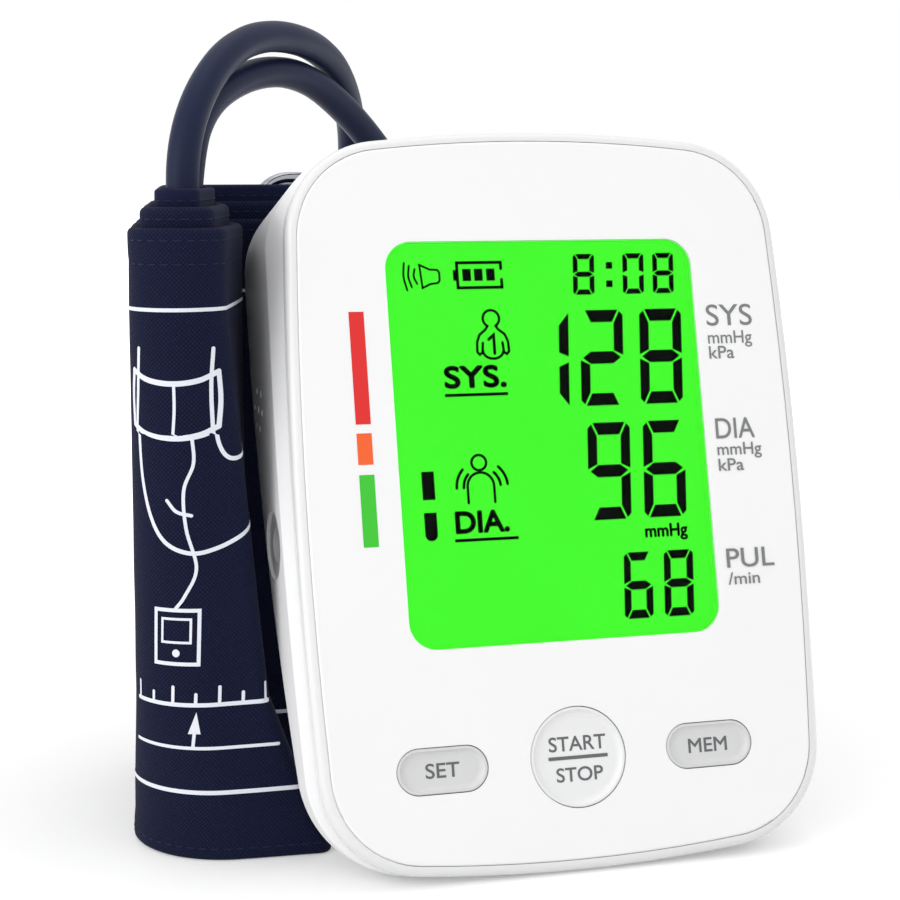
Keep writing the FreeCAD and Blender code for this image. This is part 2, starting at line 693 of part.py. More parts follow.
def make_board():
    """The circuit board, its chips, the three push switches and the board's screws."""
    body = new_body("main_board_body")
    half = s.board_wide / 2
    square = Profile(body, "board_outline", offset=-s.board_front).slab(-half, half, s.board_low, board_high, 6)
    pad(body, square, s.board_thick)
    holes = Profile(body, "board_holes", offset=-s.board_front)
    for aside, up in board_screw_places():
        holes.circle(aside, up, s.screw_wide + s.play)
    pocket(body, holes, s.board_thick)
    node(body, "main_board")
    chips = [block(x, y, -board_back - tall, wide, high, tall)
             for x, y, wide, high, tall in ((4, 38, 12, 12, 1.5), (22, 42, 6, 5, 1.4), (24, 56, 5, 4, 1.2),
                                            (-8, 30, 8, 3.6, 3.4), (30, 30, 7, 7, 1.4))]
    node(group(*chips), "board_chips")
    caps = [rod(x, y, -board_back, 6.3, 7.0, "-z") for x, y in ((36, 46), (36, 54))]
    node(group(*caps), "board_capacitors")
    switches = []
    switch_front = frame_back + s.play + s.flange_thick + s.press_travel + s.play
    for name, x, y, wide, tall in button_places():
        base = block(x - 3, y - 3, -s.board_front, 6, 6, s.board_front - switch_front - 0.8)
        stem = rod(x, y, -switch_front - 0.9, 3.4, 0.9)
        switches.append(fuse(base, stem))
    node(group(*switches), "push_switches")
    screws = []
    for aside, up in board_screw_places():
        head = rod(aside, up, -board_back, 4.4, 1.4, "-z")
        shank = rod(aside, up, -board_back, s.screw_wide - s.play * 2, board_back - frame_back - 0.2)
        screws.append(fuse(head, shank))
    node(group(*screws), "board_screws")


def board_screw_places():
    """Returns x and y of the screws that hold the board to the front frame's posts."""
    aside = s.view_wide / 2 + s.holder_wall + s.post_wide
    heights = s.board_low + s.post_wide * 4, board_high - s.post_wide
    return [(side, up) for side in (-aside, aside) for up in heights]


def make_board_posts():
    """Posts between the front frame's floor and the board, one round each board screw."""
    post_long = s.board_front - frame_back
    posts = [tube(aside, up, -s.board_front, s.post_wide, s.screw_wide - s.play * 2, post_long)
             for aside, up in board_screw_places()]
    node(group(*posts), "board_posts")


# --- Rear housing -----------------------------------------------------------------------------------------

def housing_form(name, inset, front):
    """The housing's body shape, made smaller by an inset all round; front is the depth where it starts."""
    inset = size(inset)
    prism = new_body(name + "_prism")
    section = outline(Profile(prism, name + "_outline", offset=-front), rear_half - inset, inset,
                      s.rear_high - inset, s.corner_round - inset)
    pad(prism, section, s.base_depth * 5)
    far = s.rear_high * 2
    slope = sine(s.wedge) / cosine(s.wedge)
    back_low = s.base_depth - inset / cosine(s.wedge)
    behind = Profile(prism, name + "_back_plane", "YZ_Plane")
    behind.polygon((-far, -(back_low - far * slope)), (-far, -far), (far, -far), (far, -(back_low + far * slope)))
    solid = pocket(prism, behind, far, both_ways=True)
    slant = -math.cos(math.radians(s.wedge.value))
    backs = [f"Face{i}" for i, face in enumerate(solid.Shape.Faces, 1)
             if isinstance(face.Surface, Part.Plane) and abs(face.normalAt(0, 0).z - slant) < 1e-3]
    fillet(prism, solid, backs, s.edge_round - inset)
    rise = sine(s.lean_back) / cosine(s.lean_back)
    level = inset / cosine(s.lean_back)
    under = Profile(prism, name + "_table_plane", "YZ_Plane")
    under.polygon((level - seam * rise, 0), (level + (far - seam) * rise, -far), (-far, -far), (-far, 0))
    pocket(prism, under, far, both_ways=True)
    bevel = new_body(name + "_bevel")
    near = outline(Profile(bevel, name + "_seam_outline", offset=-front), s.seam_wide / 2 - inset, inset / 2,
                   s.rear_high - inset / 2, s.corner_round - inset)
    depth = s.rear_high * slope + s.base_depth
    low_half, high_half = s.flare_low - inset, s.flare_high - inset
    wide = Profile(bevel, name + "_far_outline", offset=-depth)
    wide.belt((-(low_half - s.corner_round), -s.corner_round, s.corner_round),
              (low_half - s.corner_round, -s.corner_round, s.corner_round),
              (high_half - s.corner_round, s.rear_high + s.corner_round, s.corner_round),
              (-(high_half - s.corner_round), s.rear_high + s.corner_round, s.corner_round))
    loft = bevel.newObject("PartDesign::AdditiveLoft", name + "_loft")
    loft.Profile = near.sketch
    loft.Sections = [wide.sketch]
    loft.Ruled = True
    document.recompute()
    return common(prism, bevel)


def in_back_frame(item):
    """Wraps a shape drawn in the back frame so that it can be used with bench frame shapes."""
    holder = document.addObject("Part::Compound", "slanted")
    holder.Links = [item]
    holder.setExpression("Placement", shift_text(0, 0, -s.base_depth, (1, 0, 0), -s.wedge))
    return holder


def screw_places():
    """Returns x and y of the four case screws."""
    return [(side, up) for side in (-s.boss_aside, s.boss_aside) for up in (s.boss_low, boss_high)]


def grille_places():
    """Returns depth and height of the sound holes: a ring of six and one in the middle."""
    turn = 17
    spots = [(size(0), size(0))]
    for k in range(6):
        angle = size(turn + 60 * k)
        spots.append((s.grille_ring * cosine(angle), s.grille_ring * sine(angle)))
    return [(s.speaker_in + across, s.speaker_up + up) for across, up in spots]


def feet_places():
    """Returns x and height up the back of the rubber feet."""
    return [(side, up) for side in (-s.foot_aside, s.foot_aside) for up in (s.foot_low, s.foot_high)]


def tab_places():
    """Returns the left edge of each of the door's two hinge tabs."""
    third = bay_wide / 3
    return [s.bay_left + third / 2 - s.door_tab / 2, bay_right - third / 2 - s.door_tab / 2]


def make_rear_housing():
    """The rear shell with its battery bay, door recess, screw bosses, jack hole and sound holes."""
    outer = housing_form("outer", 0, seam)
    inner = housing_form("inner", s.wall, seam - s.seam_gap)
    wall = s.bay_wall
    bay_block = in_back_frame(block(s.bay_left - wall, s.bay_low - wall, 0, bay_wide + wall * 2,
                                    bay_long + wall * 2, bay_floor + wall))
    margin = s.door_margin + s.door_gap
    ledge = margin + wall * 3
    ledge_block = in_back_frame(block(s.bay_left - ledge, s.bay_low - ledge, 0, bay_wide + ledge * 2,
                                      bay_long + ledge + margin + wall, s.door_thick + wall))
    towers = [rod(x, y, -s.boss_meet, s.boss_wide, s.base_depth * 5, "-z") for x, y in screw_places()]
    shell = cut(outer, cut(inner, bay_block, ledge_block, *towers))
    bay = block(s.bay_left, s.bay_low, -wall, bay_wide, bay_long, bay_floor + wall)
    recess = block(s.bay_left - margin, s.bay_low - margin, -wall, bay_wide + margin * 2, bay_long + margin * 2,
                   s.door_thick + wall)
    swing = s.tab_round + s.door_gap
    pockets = [block(left - s.door_gap, hinge_up - swing, -wall, s.door_tab + s.door_gap * 2,
                     s.hinge_down + swing + s.door_gap, wall + s.hinge_in + swing)
               for left in tab_places()]
    foot_seats = [rod(x, u, -s.foot_thick, s.foot_wide + s.play, s.foot_thick * 1.5)
                  for x, u in feet_places()]
    slanted_cuts = [in_back_frame(item) for item in (bay, recess, *pockets, *foot_seats)]
    bores = []
    for x, y in screw_places():
        bores.append(rod(x, y, -s.boss_meet, s.screw_wide + s.play * 3, s.head_seat - s.boss_meet + 1, "-z"))
        bores.append(rod(x, y, -s.head_seat, s.head_wide + s.play * 4, s.base_depth * 5, "-z"))
    side = -rear_half - 1
    holes = [rod(side, y, -depth, s.grille_hole, s.wall + 3, "x") for depth, y in grille_places()]
    through = s.wall * 2
    jack_hole = rod(side, s.jack_up, -air_depth, s.jack_wide + s.play, size(1) + through, "x")
    jack_seat = rod(side, s.jack_up, -air_depth, s.jack_flange + s.play * 2, size(1) + s.wall * 0.6, "x")
    socket_hole = [s.socket_wide + s.play * 3, s.socket_tall + s.play * 4]
    socket = block(rear_half - through, s.jack_up - socket_hole[0] / 2, -air_depth - socket_hole[1] / 2,
                   through + 1, *socket_hole)
    housing = cut(shell, *slanted_cuts, *bores, *holes, jack_hole, jack_seat, socket)
    node(housing, "rear_housing")


def make_fasteners_and_feet():
    """Four long case screws and four rubber feet."""
    screws = []
    for x, y in screw_places():
        head = rod(x, y, -s.head_seat, s.head_wide, s.head_tall, "-z")
        drive = block(x - 1.6, y - 0.35, -s.head_seat - s.head_tall, 3.2, 0.7, 0.9)
        cross = block(x - 0.35, y - 1.6, -s.head_seat - s.head_tall, 0.7, 3.2, 0.9)
        shank = rod(x, y, -s.head_seat, s.screw_wide - s.play * 2, s.head_seat - frame_back - 1.5)
        screws.append(cut(fuse(head, shank), drive, cross))
    node(group(*screws), "case_screws")
    feet = [rod(x, u, -s.foot_thick / 2, s.foot_wide, s.foot_thick) for x, u in feet_places()]
    node(group(*feet), "rubber_feet", BACK)


# --- Battery bay ------------------------------------------------------------------------------------------

def make_battery_door():
    """The door: a plate with two rounded hinge tabs, a thumb hollow and a springy latch loop."""
    body = new_body("battery_door_body")
    plate = Profile(body, "door_outline")
    left, right = s.bay_left - s.door_margin, bay_right + s.door_margin
    plate.polygon((left, door_low), (right, door_low), (right, door_high), (left, door_high))
    pad(body, plate, s.door_thick - s.play, backward=False)
    thumb = Profile(body, "thumb_hollow")
    middle = (s.bay_left + bay_right) / 2
    thumb.slab(middle - 9, middle + 9, door_high - 8, door_high - 2.5, 2.5)
    pocket(body, thumb, s.door_thick * 0.3, forward=True)
    ribs = Profile(body, "thumb_ribs")
    for k in range(3):
        up = door_high - 6.4 + k * 1.2
        ribs.polygon((middle - 6, up), (middle + 6, up), (middle + 6, up + 0.4), (middle - 6, up + 0.4))
    pad(body, ribs, s.door_thick * 0.3, backward=False)
    tabs = new_body("door_tabs_body")
    for left_edge in tab_places():
        arm = Profile(tabs, "tab_section", "YZ_Plane", left_edge)
        arm.belt((hinge_up, s.hinge_in, s.tab_round), (door_low + s.tab_round * 3, s.hinge_in, s.tab_round))
        pad(tabs, arm, s.door_tab, backward=False)
    node(fuse(body, tabs), "battery_door", BACK)


def cell_places():
    """Returns x of each cell's axis and whether its nub points up."""
    first = s.bay_left + 0.2 + s.cell_pitch / 2
    return [(first + s.cell_pitch * k, k % 2 == 0) for k in range(4)]


def make_battery_parts():
    """Four AA cells side by side, their springs and the contact plates."""
    axis_in = s.door_thick + s.door_gap + s.cell_wide / 2 + 0.3
    cells, springs, plates = [], [], []
    low, high = s.bay_low, bay_high
    for x, nub_up in cell_places():
        plate_low, plate_high = low, high - s.contact_thick
        for start in (plate_low, plate_high):
            plates.append(block(x - 5.5, start, axis_in - 5.5, 11, s.contact_thick, 11))
        rest = low + s.contact_thick + (s.spring_long if nub_up else s.nub_long + 0.6)
        can = rod(x, rest, axis_in, s.cell_wide, s.cell_long, "y")
        nub_start = rest + s.cell_long if nub_up else rest - s.nub_long
        cells.append(fuse(can, rod(x, nub_start, axis_in, s.nub_wide, s.nub_long, "y")))
        spring_start = low + s.contact_thick if nub_up else rest + s.cell_long
        room = s.spring_long if nub_up else plate_high - (rest + s.cell_long)
        turns = 3
        step = room / turns
        coils = [rod(x, spring_start + step * k, axis_in, 9 - 1.2 * (k if nub_up else turns - 1 - k), step, "y")
                 for k in range(turns)]
        springs.append(cut(fuse(*coils), rod(x, spring_start, axis_in, 4.2, room, "y")))
    node(group(*cells), "aa_cells", BACK)
    node(group(*springs), "battery_springs", BACK)
    node(group(*plates), "battery_contacts", BACK)


# --- Air parts and speaker --------------------------------------------------------------------------------

def make_air_parts():
    """Jack, manifold, pump with its rubber sleeve, bleed valve, pressure sensor and silicone tubes."""
    y, z = s.jack_up, -air_depth
    face = -rear_half + s.wall * 0.6 - 0.5
    flange_thick = size(0.5)
    jack_long = s.jack_deep + s.jack_end_wall
    jack_end = face + jack_long
    flange = rod(face, y, z, s.jack_flange, flange_thick, "x")
    barrel = rod(face, y, z, s.jack_wide, jack_long, "x")
    barb = rod(jack_end, y, z, s.nipple_wide, s.barb_long, "x")
    bore = rod(face, y, z, s.jack_bore, s.jack_deep, "x")
    duct = rod(face, y, z, s.nipple_wide / 2, jack_long + s.barb_long + 1, "x")
    node(cut(fuse(flange, barrel, barb), bore, duct), "air_jack")
    line_start = jack_end + s.barb_long + s.play * 3
    tube_long = s.barb_long * 2 + s.play * 3
    node(tube(jack_end, y, z, s.air_tube, s.nipple_wide + s.play, tube_long, "x"), "jack_tube")
    valve_left = pump_aside + s.valve_aside
    valve_top = (s.bay_low - s.bay_wall) * cosine(s.wedge) + s.bay_wall
    main = rod(line_start, y, z, s.nipple_wide, valve_left - line_start, "x")
    core_start = line_start + s.barb_long
    core = rod(core_start, y, z, s.air_tube + 0.8, valve_left - core_start, "x")
    sensor_x = pump_aside + s.sensor_aside
    sensor_nipple = rod(sensor_x, y - 8, z, s.nipple_wide, 8, "y")
    pump_nipple = in_back_frame(rod(pump_aside, air_up_back, air_rise, s.nipple_wide, 8, "y"))
    node(fuse(main, core, sensor_nipple, pump_nipple), "air_manifold")
    sensor_top = y - s.sensor_down
    sensor_tube = tube(sensor_x, sensor_top, z, s.air_tube, s.nipple_wide + s.play, s.sensor_down - 4, "y")
    pump_end = s.pump_low - s.nipple_wide
    tube_low = air_up_back + 4
    pump_tube = tube(pump_aside, tube_low, air_rise, s.air_tube, s.nipple_wide + s.play,
                     s.pump_low - tube_low, "y")
    node(sensor_tube, "sensor_tube")
    node(pump_tube, "pump_tube", BACK)
    sensor = block(sensor_x - s.sensor_wide / 2, sensor_top - s.sensor_wide, z - 3,
                   s.sensor_wide, s.sensor_wide, air_depth + 3 - board_back)
    port = rod(sensor_x, sensor_top, z, s.nipple_wide, 3.8, "y")
    node(fuse(sensor, port), "pressure_sensor")
    valve = block(valve_left, valve_top - s.valve_tall, z - 6, s.valve_wide, s.valve_tall,
                  air_depth + 6 - board_back)
    node(group(valve), "bleed_valve")
    outlet = rod(pump_aside, pump_end, air_rise, s.nipple_wide, 4, "y")
    head = rod(pump_aside, s.pump_low, air_rise, s.motor_wide + 1, s.pump_head, "y")
    motor = rod(pump_aside, s.pump_low + s.pump_head, air_rise, s.motor_wide, s.motor_long, "y")
    shaft_boss = rod(pump_aside, s.pump_low + s.pump_head + s.motor_long, air_rise, 6, 1.6, "y")
    node(fuse(outlet, head, motor, shaft_boss), "air_pump", BACK)
    sleeve_low = s.pump_low + s.pump_head + (s.motor_long - s.sleeve_long) / 2
    sleeve_wide = s.motor_wide + s.sleeve_thick * 2
    node(tube(pump_aside, sleeve_low, air_rise, sleeve_wide, s.motor_wide + s.play, s.sleeve_long, "y"),
         "pump_sleeve", BACK)


def make_speaker():
    """The small speaker behind the sound holes, on its foam ring."""
    wall_inside = -rear_half + s.wall + s.speaker_set
    room = housing_form("speaker_room", s.wall + s.play / 3, seam)
    foam = s.play * 6
    y, z = s.speaker_up, -s.speaker_in
    ring_bore = s.grille_ring * 2 + s.grille_hole + s.play
    foam_ring = tube(wall_inside - foam, y, z, s.speaker_wide - 0.9, ring_bore, foam * 2, "x")
    node(common(foam_ring, room), "speaker_gasket")
    basket = rod(wall_inside + foam, y, z, s.speaker_wide, s.speaker_thick * 0.5, "x")
    magnet = rod(wall_inside + foam, y, z, s.speaker_wide * 0.6, s.speaker_thick, "x")
    node(fuse(basket, magnet), "speaker")


def make_power_socket():
    """The small charging socket in the right wall: a metal shell with its tongue."""
    right = rear_half - s.wall * 0.5
    left = right - s.socket_long
    sheet, tongue_thick = size(0.4), size(0.7)
    tongue_wide = s.socket_wide * 0.7
    shell = block(left, s.jack_up - s.socket_wide / 2, -air_depth - s.socket_tall / 2,
                  s.socket_long, s.socket_wide, s.socket_tall)
    space = block(left + 1, s.jack_up - s.socket_wide / 2 + sheet, -air_depth - s.socket_tall / 2 + sheet,
                  s.socket_long, s.socket_wide - sheet * 2, s.socket_tall - sheet * 2)
    tongue = block(left, s.jack_up - tongue_wide / 2, -air_depth - tongue_thick / 2,
                   s.socket_long - 1, tongue_wide, tongue_thick)
    node(fuse(cut(shell, space), tongue), "power_socket")
    card = block(left - 8, s.jack_up - s.socket_wide * 0.75, -air_depth + s.socket_tall / 2,
                 s.socket_long + 6, s.socket_wide * 1.5, s.board_thick * 0.6)
    node(group(card), "power_board")


# --- Cuff, ring and hose ----------------------------------------------------------------------------------

def foot_plan(inset):
    """Returns the right side and the front rounds of the roll at its foot, spread behind the housing."""
    right = roll_right + s.foot_spread
    nose = (roll_left + s.foot_round, s.foot_back, s.foot_round - inset)
    fold = larger(s.fold_round - inset, s.least_round)
    return right, nose, (right - 1.5 - inset - fold, s.foot_front + inset + fold, fold)


def waist_plan(inset):
    """Returns them where the roll passes the housing's side."""
    nose = (roll_left + s.waist_round, s.waist_back, s.waist_round - inset)
    fold = larger(s.fold_round - inset, s.least_round)
    return roll_right, nose, (roll_right - 1 - inset - fold, s.waist_front + inset + fold, fold)


def neck_plan(inset):
    """Returns them where the roll is narrow: the fold runs out on the front end's side."""
    x, y, radius = roll_left + s.nose_round, s.nose_back, s.nose_round - inset
    aside = (radius * 0.4 + 0.4) * 0.7
    return roll_right, (x, y, radius), (x + aside, y - aside, radius * 0.6)


def roll_outline(body, name, high, plan, inset):
    """Draws the roll's plan at a height: a nose beside the monitor and a lobe behind its back."""
    right, nose, fold = plan(inset)
    bend = s.nose_round * 1.2
    hollow, rear, heel = size(3), size(8), size(14)
    front = larger(size(4) - inset, s.least_round)
    rounds = (nose, fold,
              (right - bend, s.bend_back, bend - inset),
              (right + hollow, lobe_front - hollow, -(hollow + inset)),
              (-s.lobe_right - inset - front, lobe_front + inset + front, front),
              (-s.lobe_right - rear, lobe_rear - rear, rear - inset),
              (-s.lobe_left + heel, lobe_rear - heel, heel - inset))
    return Profile(body, name, offset=high).belt(*rounds)


def rolled_block(name, inset, high):
    """A block of the roll, smaller than its outline by an inset: spread at the foot and narrow above."""
    body = new_body(name)
    levels = ((0, foot_plan), (s.waist_high, waist_plan), (s.neck_high, neck_plan), (high, neck_plan))
    sections = [roll_outline(body, f"{name}_{k}", level, plan, inset)
                for k, (level, plan) in enumerate(levels)]
    block = document.addObject("Part::Loft", name + "_loft")
    block.Sections = [section.sketch for section in sections]
    block.Solid = True
    block.Ruled = True
    return block


def make_cuff():
    """The rolled cuff as three nested wraps of cloth, each higher than the one outside it."""
    inset = size(0)
    for label, thick, high in (("cuff_outer_wrap", s.outer_cloth, s.outer_high),
                               ("cuff_second_wrap", s.second_cloth, s.second_high),
                               ("cuff_inner_wrap", s.inner_cloth, s.inner_high)):
        outer = rolled_block(label + "_outer", inset, high)
        inner = rolled_block(label + "_inner", inset + thick, high)
        node(cut(outer, inner), label, SET)
        inset = inset + thick + s.cloth_gap


def make_ring():
    """The D-ring of bent wire and the cloth loop that holds its hinge leg to the roll's back."""
    x, y = -s.ring_aside, hinge_back
    low, high = s.ring_foot + s.ring_wire / 2, s.ring_high - s.ring_wire / 2
    body = new_body("d_ring_body")
    path = Profile(body, "ring_path", "XZ_Plane", -y)
    path.slab(x, x + s.ring_wide, low, high, s.ring_bend)
    section = Profile(body, "wire_section", "XY_Plane", (low + high) / 2)
    section.circle(x, y, s.ring_wire)
    pipe = body.newObject("PartDesign::AdditivePipe", "ring_pipe")
    pipe.Profile = section.sketch
    pipe.Spine = path.sketch
    document.recompute()
    node(body, "d_ring", SET)
    height = s.loop_high - s.loop_low
    bore = s.ring_wire + s.play
    outside = bore + s.loop_cloth * 2
    roll = rod(x, y, s.loop_low, outside, height)
    tail = block(x - s.loop_tail, lobe_rear, s.loop_low, s.loop_tail, s.loop_cloth, height)
    node(cut(fuse(roll, tail), rod(x, y, s.loop_low, bore, height)), "ring_loop", SET)


HOSE_POINTS = (
    # Out of the cuff's port, up through the roll's core and over its top
    (-69.3, 57.0, 92.0), (-69.3, 57.0, 120.0), (-69.7, 60.5, 148.1), (-53.7, 79.9, 168.9),
    (-28.1, 107.5, 168.4), (-15.3, 131.1, 151.5), (-15.1, 143.3, 122.7), (-22.6, 145.6, 87.6),
    # Down behind the monitor, round on the table and up again
    (-27.9, 142.9, 52.5), (-23.0, 141.0, 22.4), (-4.2, 142.4, 3.7), (22.3, 142.4, 3.7),
    (41.0, 141.0, 22.4), (46.5, 139.1, 47.0), (39.0, 137.3, 72.1), (22.5, 135.2, 97.5),
    # Over the roll's top in a lower arch and down into its core, to the plug
    (3.0, 130.1, 124.2), (-16.2, 119.3, 149.6), (-37.5, 102.0, 163.5), (-61.1, 79.1, 155.9),
    (-68.3, 66.4, 137.6), (-68.3, 66.4, 114.1),
)


def hose_route():
    """Returns the hose's path as straight runs joined by tangent arcs, with each arc's radius."""
    points = [Vector(*point) for point in HOSE_POINTS]
    edges, radii = [], []
    start = points[0]
    for before, here, after in zip(points, points[1:], points[2:]):
        arrive, leave = here - before, after - here
        turn = arrive.getAngle(leave)
        shorter = min(arrive.Length, leave.Length)
        radius = 0.45 * shorter / math.tan(turn / 2)
        trim = 0.45 * shorter
        first = here - Vector(arrive).normalize() * trim
        last = here + Vector(leave).normalize() * trim
        inward = (Vector(leave).normalize() - Vector(arrive).normalize()).normalize()
        middle = here + inward * (radius / math.cos(turn / 2))
        crown = middle - inward * radius
        edges.append(Part.LineSegment(start, first).toShape())
        edges.append(Part.Arc(first, crown, last).toShape())
        start = last
        radii.append(radius)
    edges.append(Part.LineSegment(start, points[-1]).toShape())
    return Part.Wire(edges), radii


def make_hose():
    """The air hose, the plug at its end and the port on the cuff that it starts from."""
    wire, radii = hose_route()
    start = wire.Edges[0]
    way = start.tangentAt(start.FirstParameter)
    section = Part.Wire(Part.Circle(start.valueAt(start.FirstParameter), way, s.hose_wide.value / 2).toShape())
    solid = wire.makePipeShell([section], True, False)
    area = math.pi * (s.hose_wide.value / 2) ** 2
    print("hose radii", " ".join(f"{radius:.1f}" for radius in radii))
    print(f"hose length {wire.Length:.1f}, volume {solid.Volume:.1f} against {area * wire.Length:.1f}")
    hose = document.addObject("Part::Feature", "hose")
    hose.Shape = solid
    node(hose, "air_hose", SET)
    make_hose_ends()


def make_hose_ends():
    """The rubber port that the hose leaves the cuff by, and the ribbed plug at its other end."""
    x, y, top = (size(value) for value in HOSE_POINTS[0])
    neck = rod(x, y, top - s.port_long, s.hose_wide + s.play * 2, s.port_long)
    tab = block(x, y - s.hose_wide / 2, top - s.port_long * 2, s.port_tab, s.hose_wide, s.port_long * 1.2)
    node(fuse(neck, tab), "hose_port", SET)
    x, y, top = (size(value) for value in HOSE_POINTS[-1])
    body = new_body("air_plug_body")
    half = Profile(body, "plug_section", "XZ_Plane", -y)
    grip, neck, nozzle = s.hose_wide / 2 + s.play, s.hose_wide / 2 - s.play * 2, s.jack_bore / 2 - s.play
    foot = top - s.grip_long
    groove = s.play * 4
    half.polygon((x, foot - s.nozzle_long), (x, top), (grip + x, top), (grip + x, foot + s.grip_long * 0.6),
                 (neck + x, foot + s.grip_long * 0.5), (grip + x, foot + s.grip_long * 0.4), (grip + x, foot),
                 (nozzle + x, foot), (nozzle + x, foot - s.nozzle_long * 0.5),
                 (nozzle + x - groove, foot - s.nozzle_long * 0.5),
                 (nozzle + x - groove, foot - s.nozzle_long * 0.5 - groove),
                 (nozzle + x, foot - s.nozzle_long * 0.5 - groove), (nozzle + x, foot - s.nozzle_long + groove),
                 (nozzle + x - groove, foot - s.nozzle_long))
    turned = body.newObject("PartDesign::Revolution", "plug_turned")
    turned.Profile = half.sketch
    turned.ReferenceAxis = (half.sketch, ["Edge1"])
    turned.Angle = 360
    document.recompute()
    node(body, "air_plug", SET)


def check_and_export():
    """Stops on any failed object or bad shape, then writes each sub-part."""
    document.recompute()
    for item in document.Objects:
        if "Invalid" in item.State or "Error" in item.State:
            raise RuntimeError(f"{item.Name} ({item.Label}) failed: {item.State}")
    os.makedirs("parts", exist_ok=True)
    bad = [piece.Label for piece in nodes
           if piece.Shape.isNull() or not piece.Shape.isValid() or not piece.Shape.Solids]
    if bad:
        raise RuntimeError(f"no valid solid in {bad}")
    for piece in nodes:
        piece.Shape.exportStep(f"parts/{piece.Label}.step")
    print(len(nodes), "sub-parts written")


def main():
    """Builds every sub-part and writes it."""
    add_frames()
    document.recompute()
    make_front_frame()
    make_face_panel()
    make_display()
    make_buttons()
    make_board()
    make_board_posts()
    make_rear_housing()
    make_fasteners_and_feet()
    make_battery_door()
    make_battery_parts()
    make_air_parts()
    make_speaker()
    make_power_socket()
    make_cuff()
    make_ring()
    make_hose()
    check_and_export()


main()
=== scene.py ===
"""Looks of an upper-arm blood pressure monitor with its rolled cuff, D-ring and air hose.

The classes dress the rigid solids, print on them, sew the cloth and lay the hose that replace the soft ones,
and set the stage. Their sizes are millimetres and become metres where a point is placed.
"""
import logging
from bisect import bisect_right
from collections.abc import Callable, Iterable, Sequence
from dataclasses import dataclass, field
from enum import Enum
from functools import cached_property, lru_cache
from itertools import accumulate, chain, pairwise
from math import acos, atan2, ceil, cos, dist, exp, pi, radians, sin

import bmesh
import bpy
from mathutils import Matrix, Vector, noise


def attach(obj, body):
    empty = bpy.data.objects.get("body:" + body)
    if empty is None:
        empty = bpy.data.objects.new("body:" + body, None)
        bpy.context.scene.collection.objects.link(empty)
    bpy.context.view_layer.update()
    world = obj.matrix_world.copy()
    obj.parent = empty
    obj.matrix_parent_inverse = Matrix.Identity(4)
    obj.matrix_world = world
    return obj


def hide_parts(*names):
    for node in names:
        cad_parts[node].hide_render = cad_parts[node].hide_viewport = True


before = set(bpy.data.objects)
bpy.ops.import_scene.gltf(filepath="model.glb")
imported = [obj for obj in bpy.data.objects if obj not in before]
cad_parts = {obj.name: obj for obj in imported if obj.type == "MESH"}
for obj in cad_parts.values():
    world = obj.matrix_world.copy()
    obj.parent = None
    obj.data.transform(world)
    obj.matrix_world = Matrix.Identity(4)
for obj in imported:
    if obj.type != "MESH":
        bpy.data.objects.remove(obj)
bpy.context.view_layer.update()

log = logging.getLogger("monitor")
MM = 0.001
Point = tuple[float, float]
Spot = tuple[float, float, float]
Box = tuple[float, float, float, float]
Colour = tuple[float, float, float, float]
Place = Callable[[float, float, float], Vector]
Relief = Callable[[float, float, float], float]
Socket = bpy.types.NodeSocket
Tree = bpy.types.NodeTree
Thing = bpy.types.Object
WHITE: Colour = (1.0, 1.0, 1.0, 1.0)


# --- Small helpers ---

def linear(colour: str, share: float = 1.0) -> Colour:
    """Turns an sRGB colour into a linear one.

    Args:
        colour: the colour as "#RRGGBB".
        share: how much of its light is kept.

    Returns:
        The linear colour.
    """
    parts = [int(colour[k:k + 2], 16) / 255 for k in (1, 3, 5)]
    bent = [part / 12.92 if part <= 0.04045 else ((part + 0.055) / 1.055) ** 2.4 for part in parts]
    return (bent[0] * share, bent[1] * share, bent[2] * share, 1.0)


def wire(item: bpy.types.Node, inputs: dict) -> None:
    """Sets a node's inputs, by name or index, and attributes. An input given a socket is linked to it."""
    for name, value in inputs.items():
        if isinstance(value, Socket):
            item.id_data.links.new(value, item.inputs[name])
        elif isinstance(name, int) or name in item.inputs:
            item.inputs[name].default_value = value
        else:
            setattr(item, name, value)


def add(tree: Tree, kind: str, output: str | int, inputs: dict | None = None) -> Socket:
    """Adds a shader node.

    Args:
        tree: the node tree.
        kind: its type.
        output: the name or index of the output that is wanted.
        inputs: its inputs and attributes.

    Returns:
        The output.
    """
    item = tree.nodes.new("ShaderNode" + kind)
    wire(item, inputs or {})
    return item.outputs[output]


def clouds(tree: Tree, size_mm: float, detail: float = 2.0, space: str = "Object") -> Socket:
    """Returns noise with spots of a size, in a space of the surface."""
    return add(tree, "TexNoise", "Fac", {"Scale": 1 / (size_mm * MM), "Detail": detail,
                                         "Vector": add(tree, "TexCoord", space)})


def mixed(tree: Tree, share: Socket, first: Colour | Socket, second: Colour) -> Socket:
    """Returns the colour that lies a share of the way from one colour to another."""
    return add(tree, "Mix", 2, {"data_type": "RGBA", 0: share, 6: first, 7: second})


def ranged(tree: Tree, value: Socket, low: float, high: float) -> Socket:
    """Returns a value between 0 and 1 moved to the range between low and high."""
    return add(tree, "MapRange", "Result", {"Value": value, "To Min": low, "To Max": high})


def maths(tree: Tree, operation: str, first: Socket, second: Socket) -> Socket:
    """Returns the result of an operation on two values."""
    return add(tree, "Math", "Value", {"operation": operation, 0: first, 1: second})


def raised(tree: Tree, height: Socket, depth_mm: float) -> Socket:
    """Returns the normals of a surface raised by a height between 0 and 1, to a depth."""
    return add(tree, "Bump", "Normal", {"Distance": depth_mm * MM, "Height": height})


def put(name: str, data: bpy.types.ID) -> Thing:
    """Makes an object and links it to the scene.

    Args:
        name: the name of the object.
        data: what it shows.

    Returns:
        The object.
    """
    made = bpy.data.objects.new(name, data)
    bpy.context.scene.collection.objects.link(made)
    return made


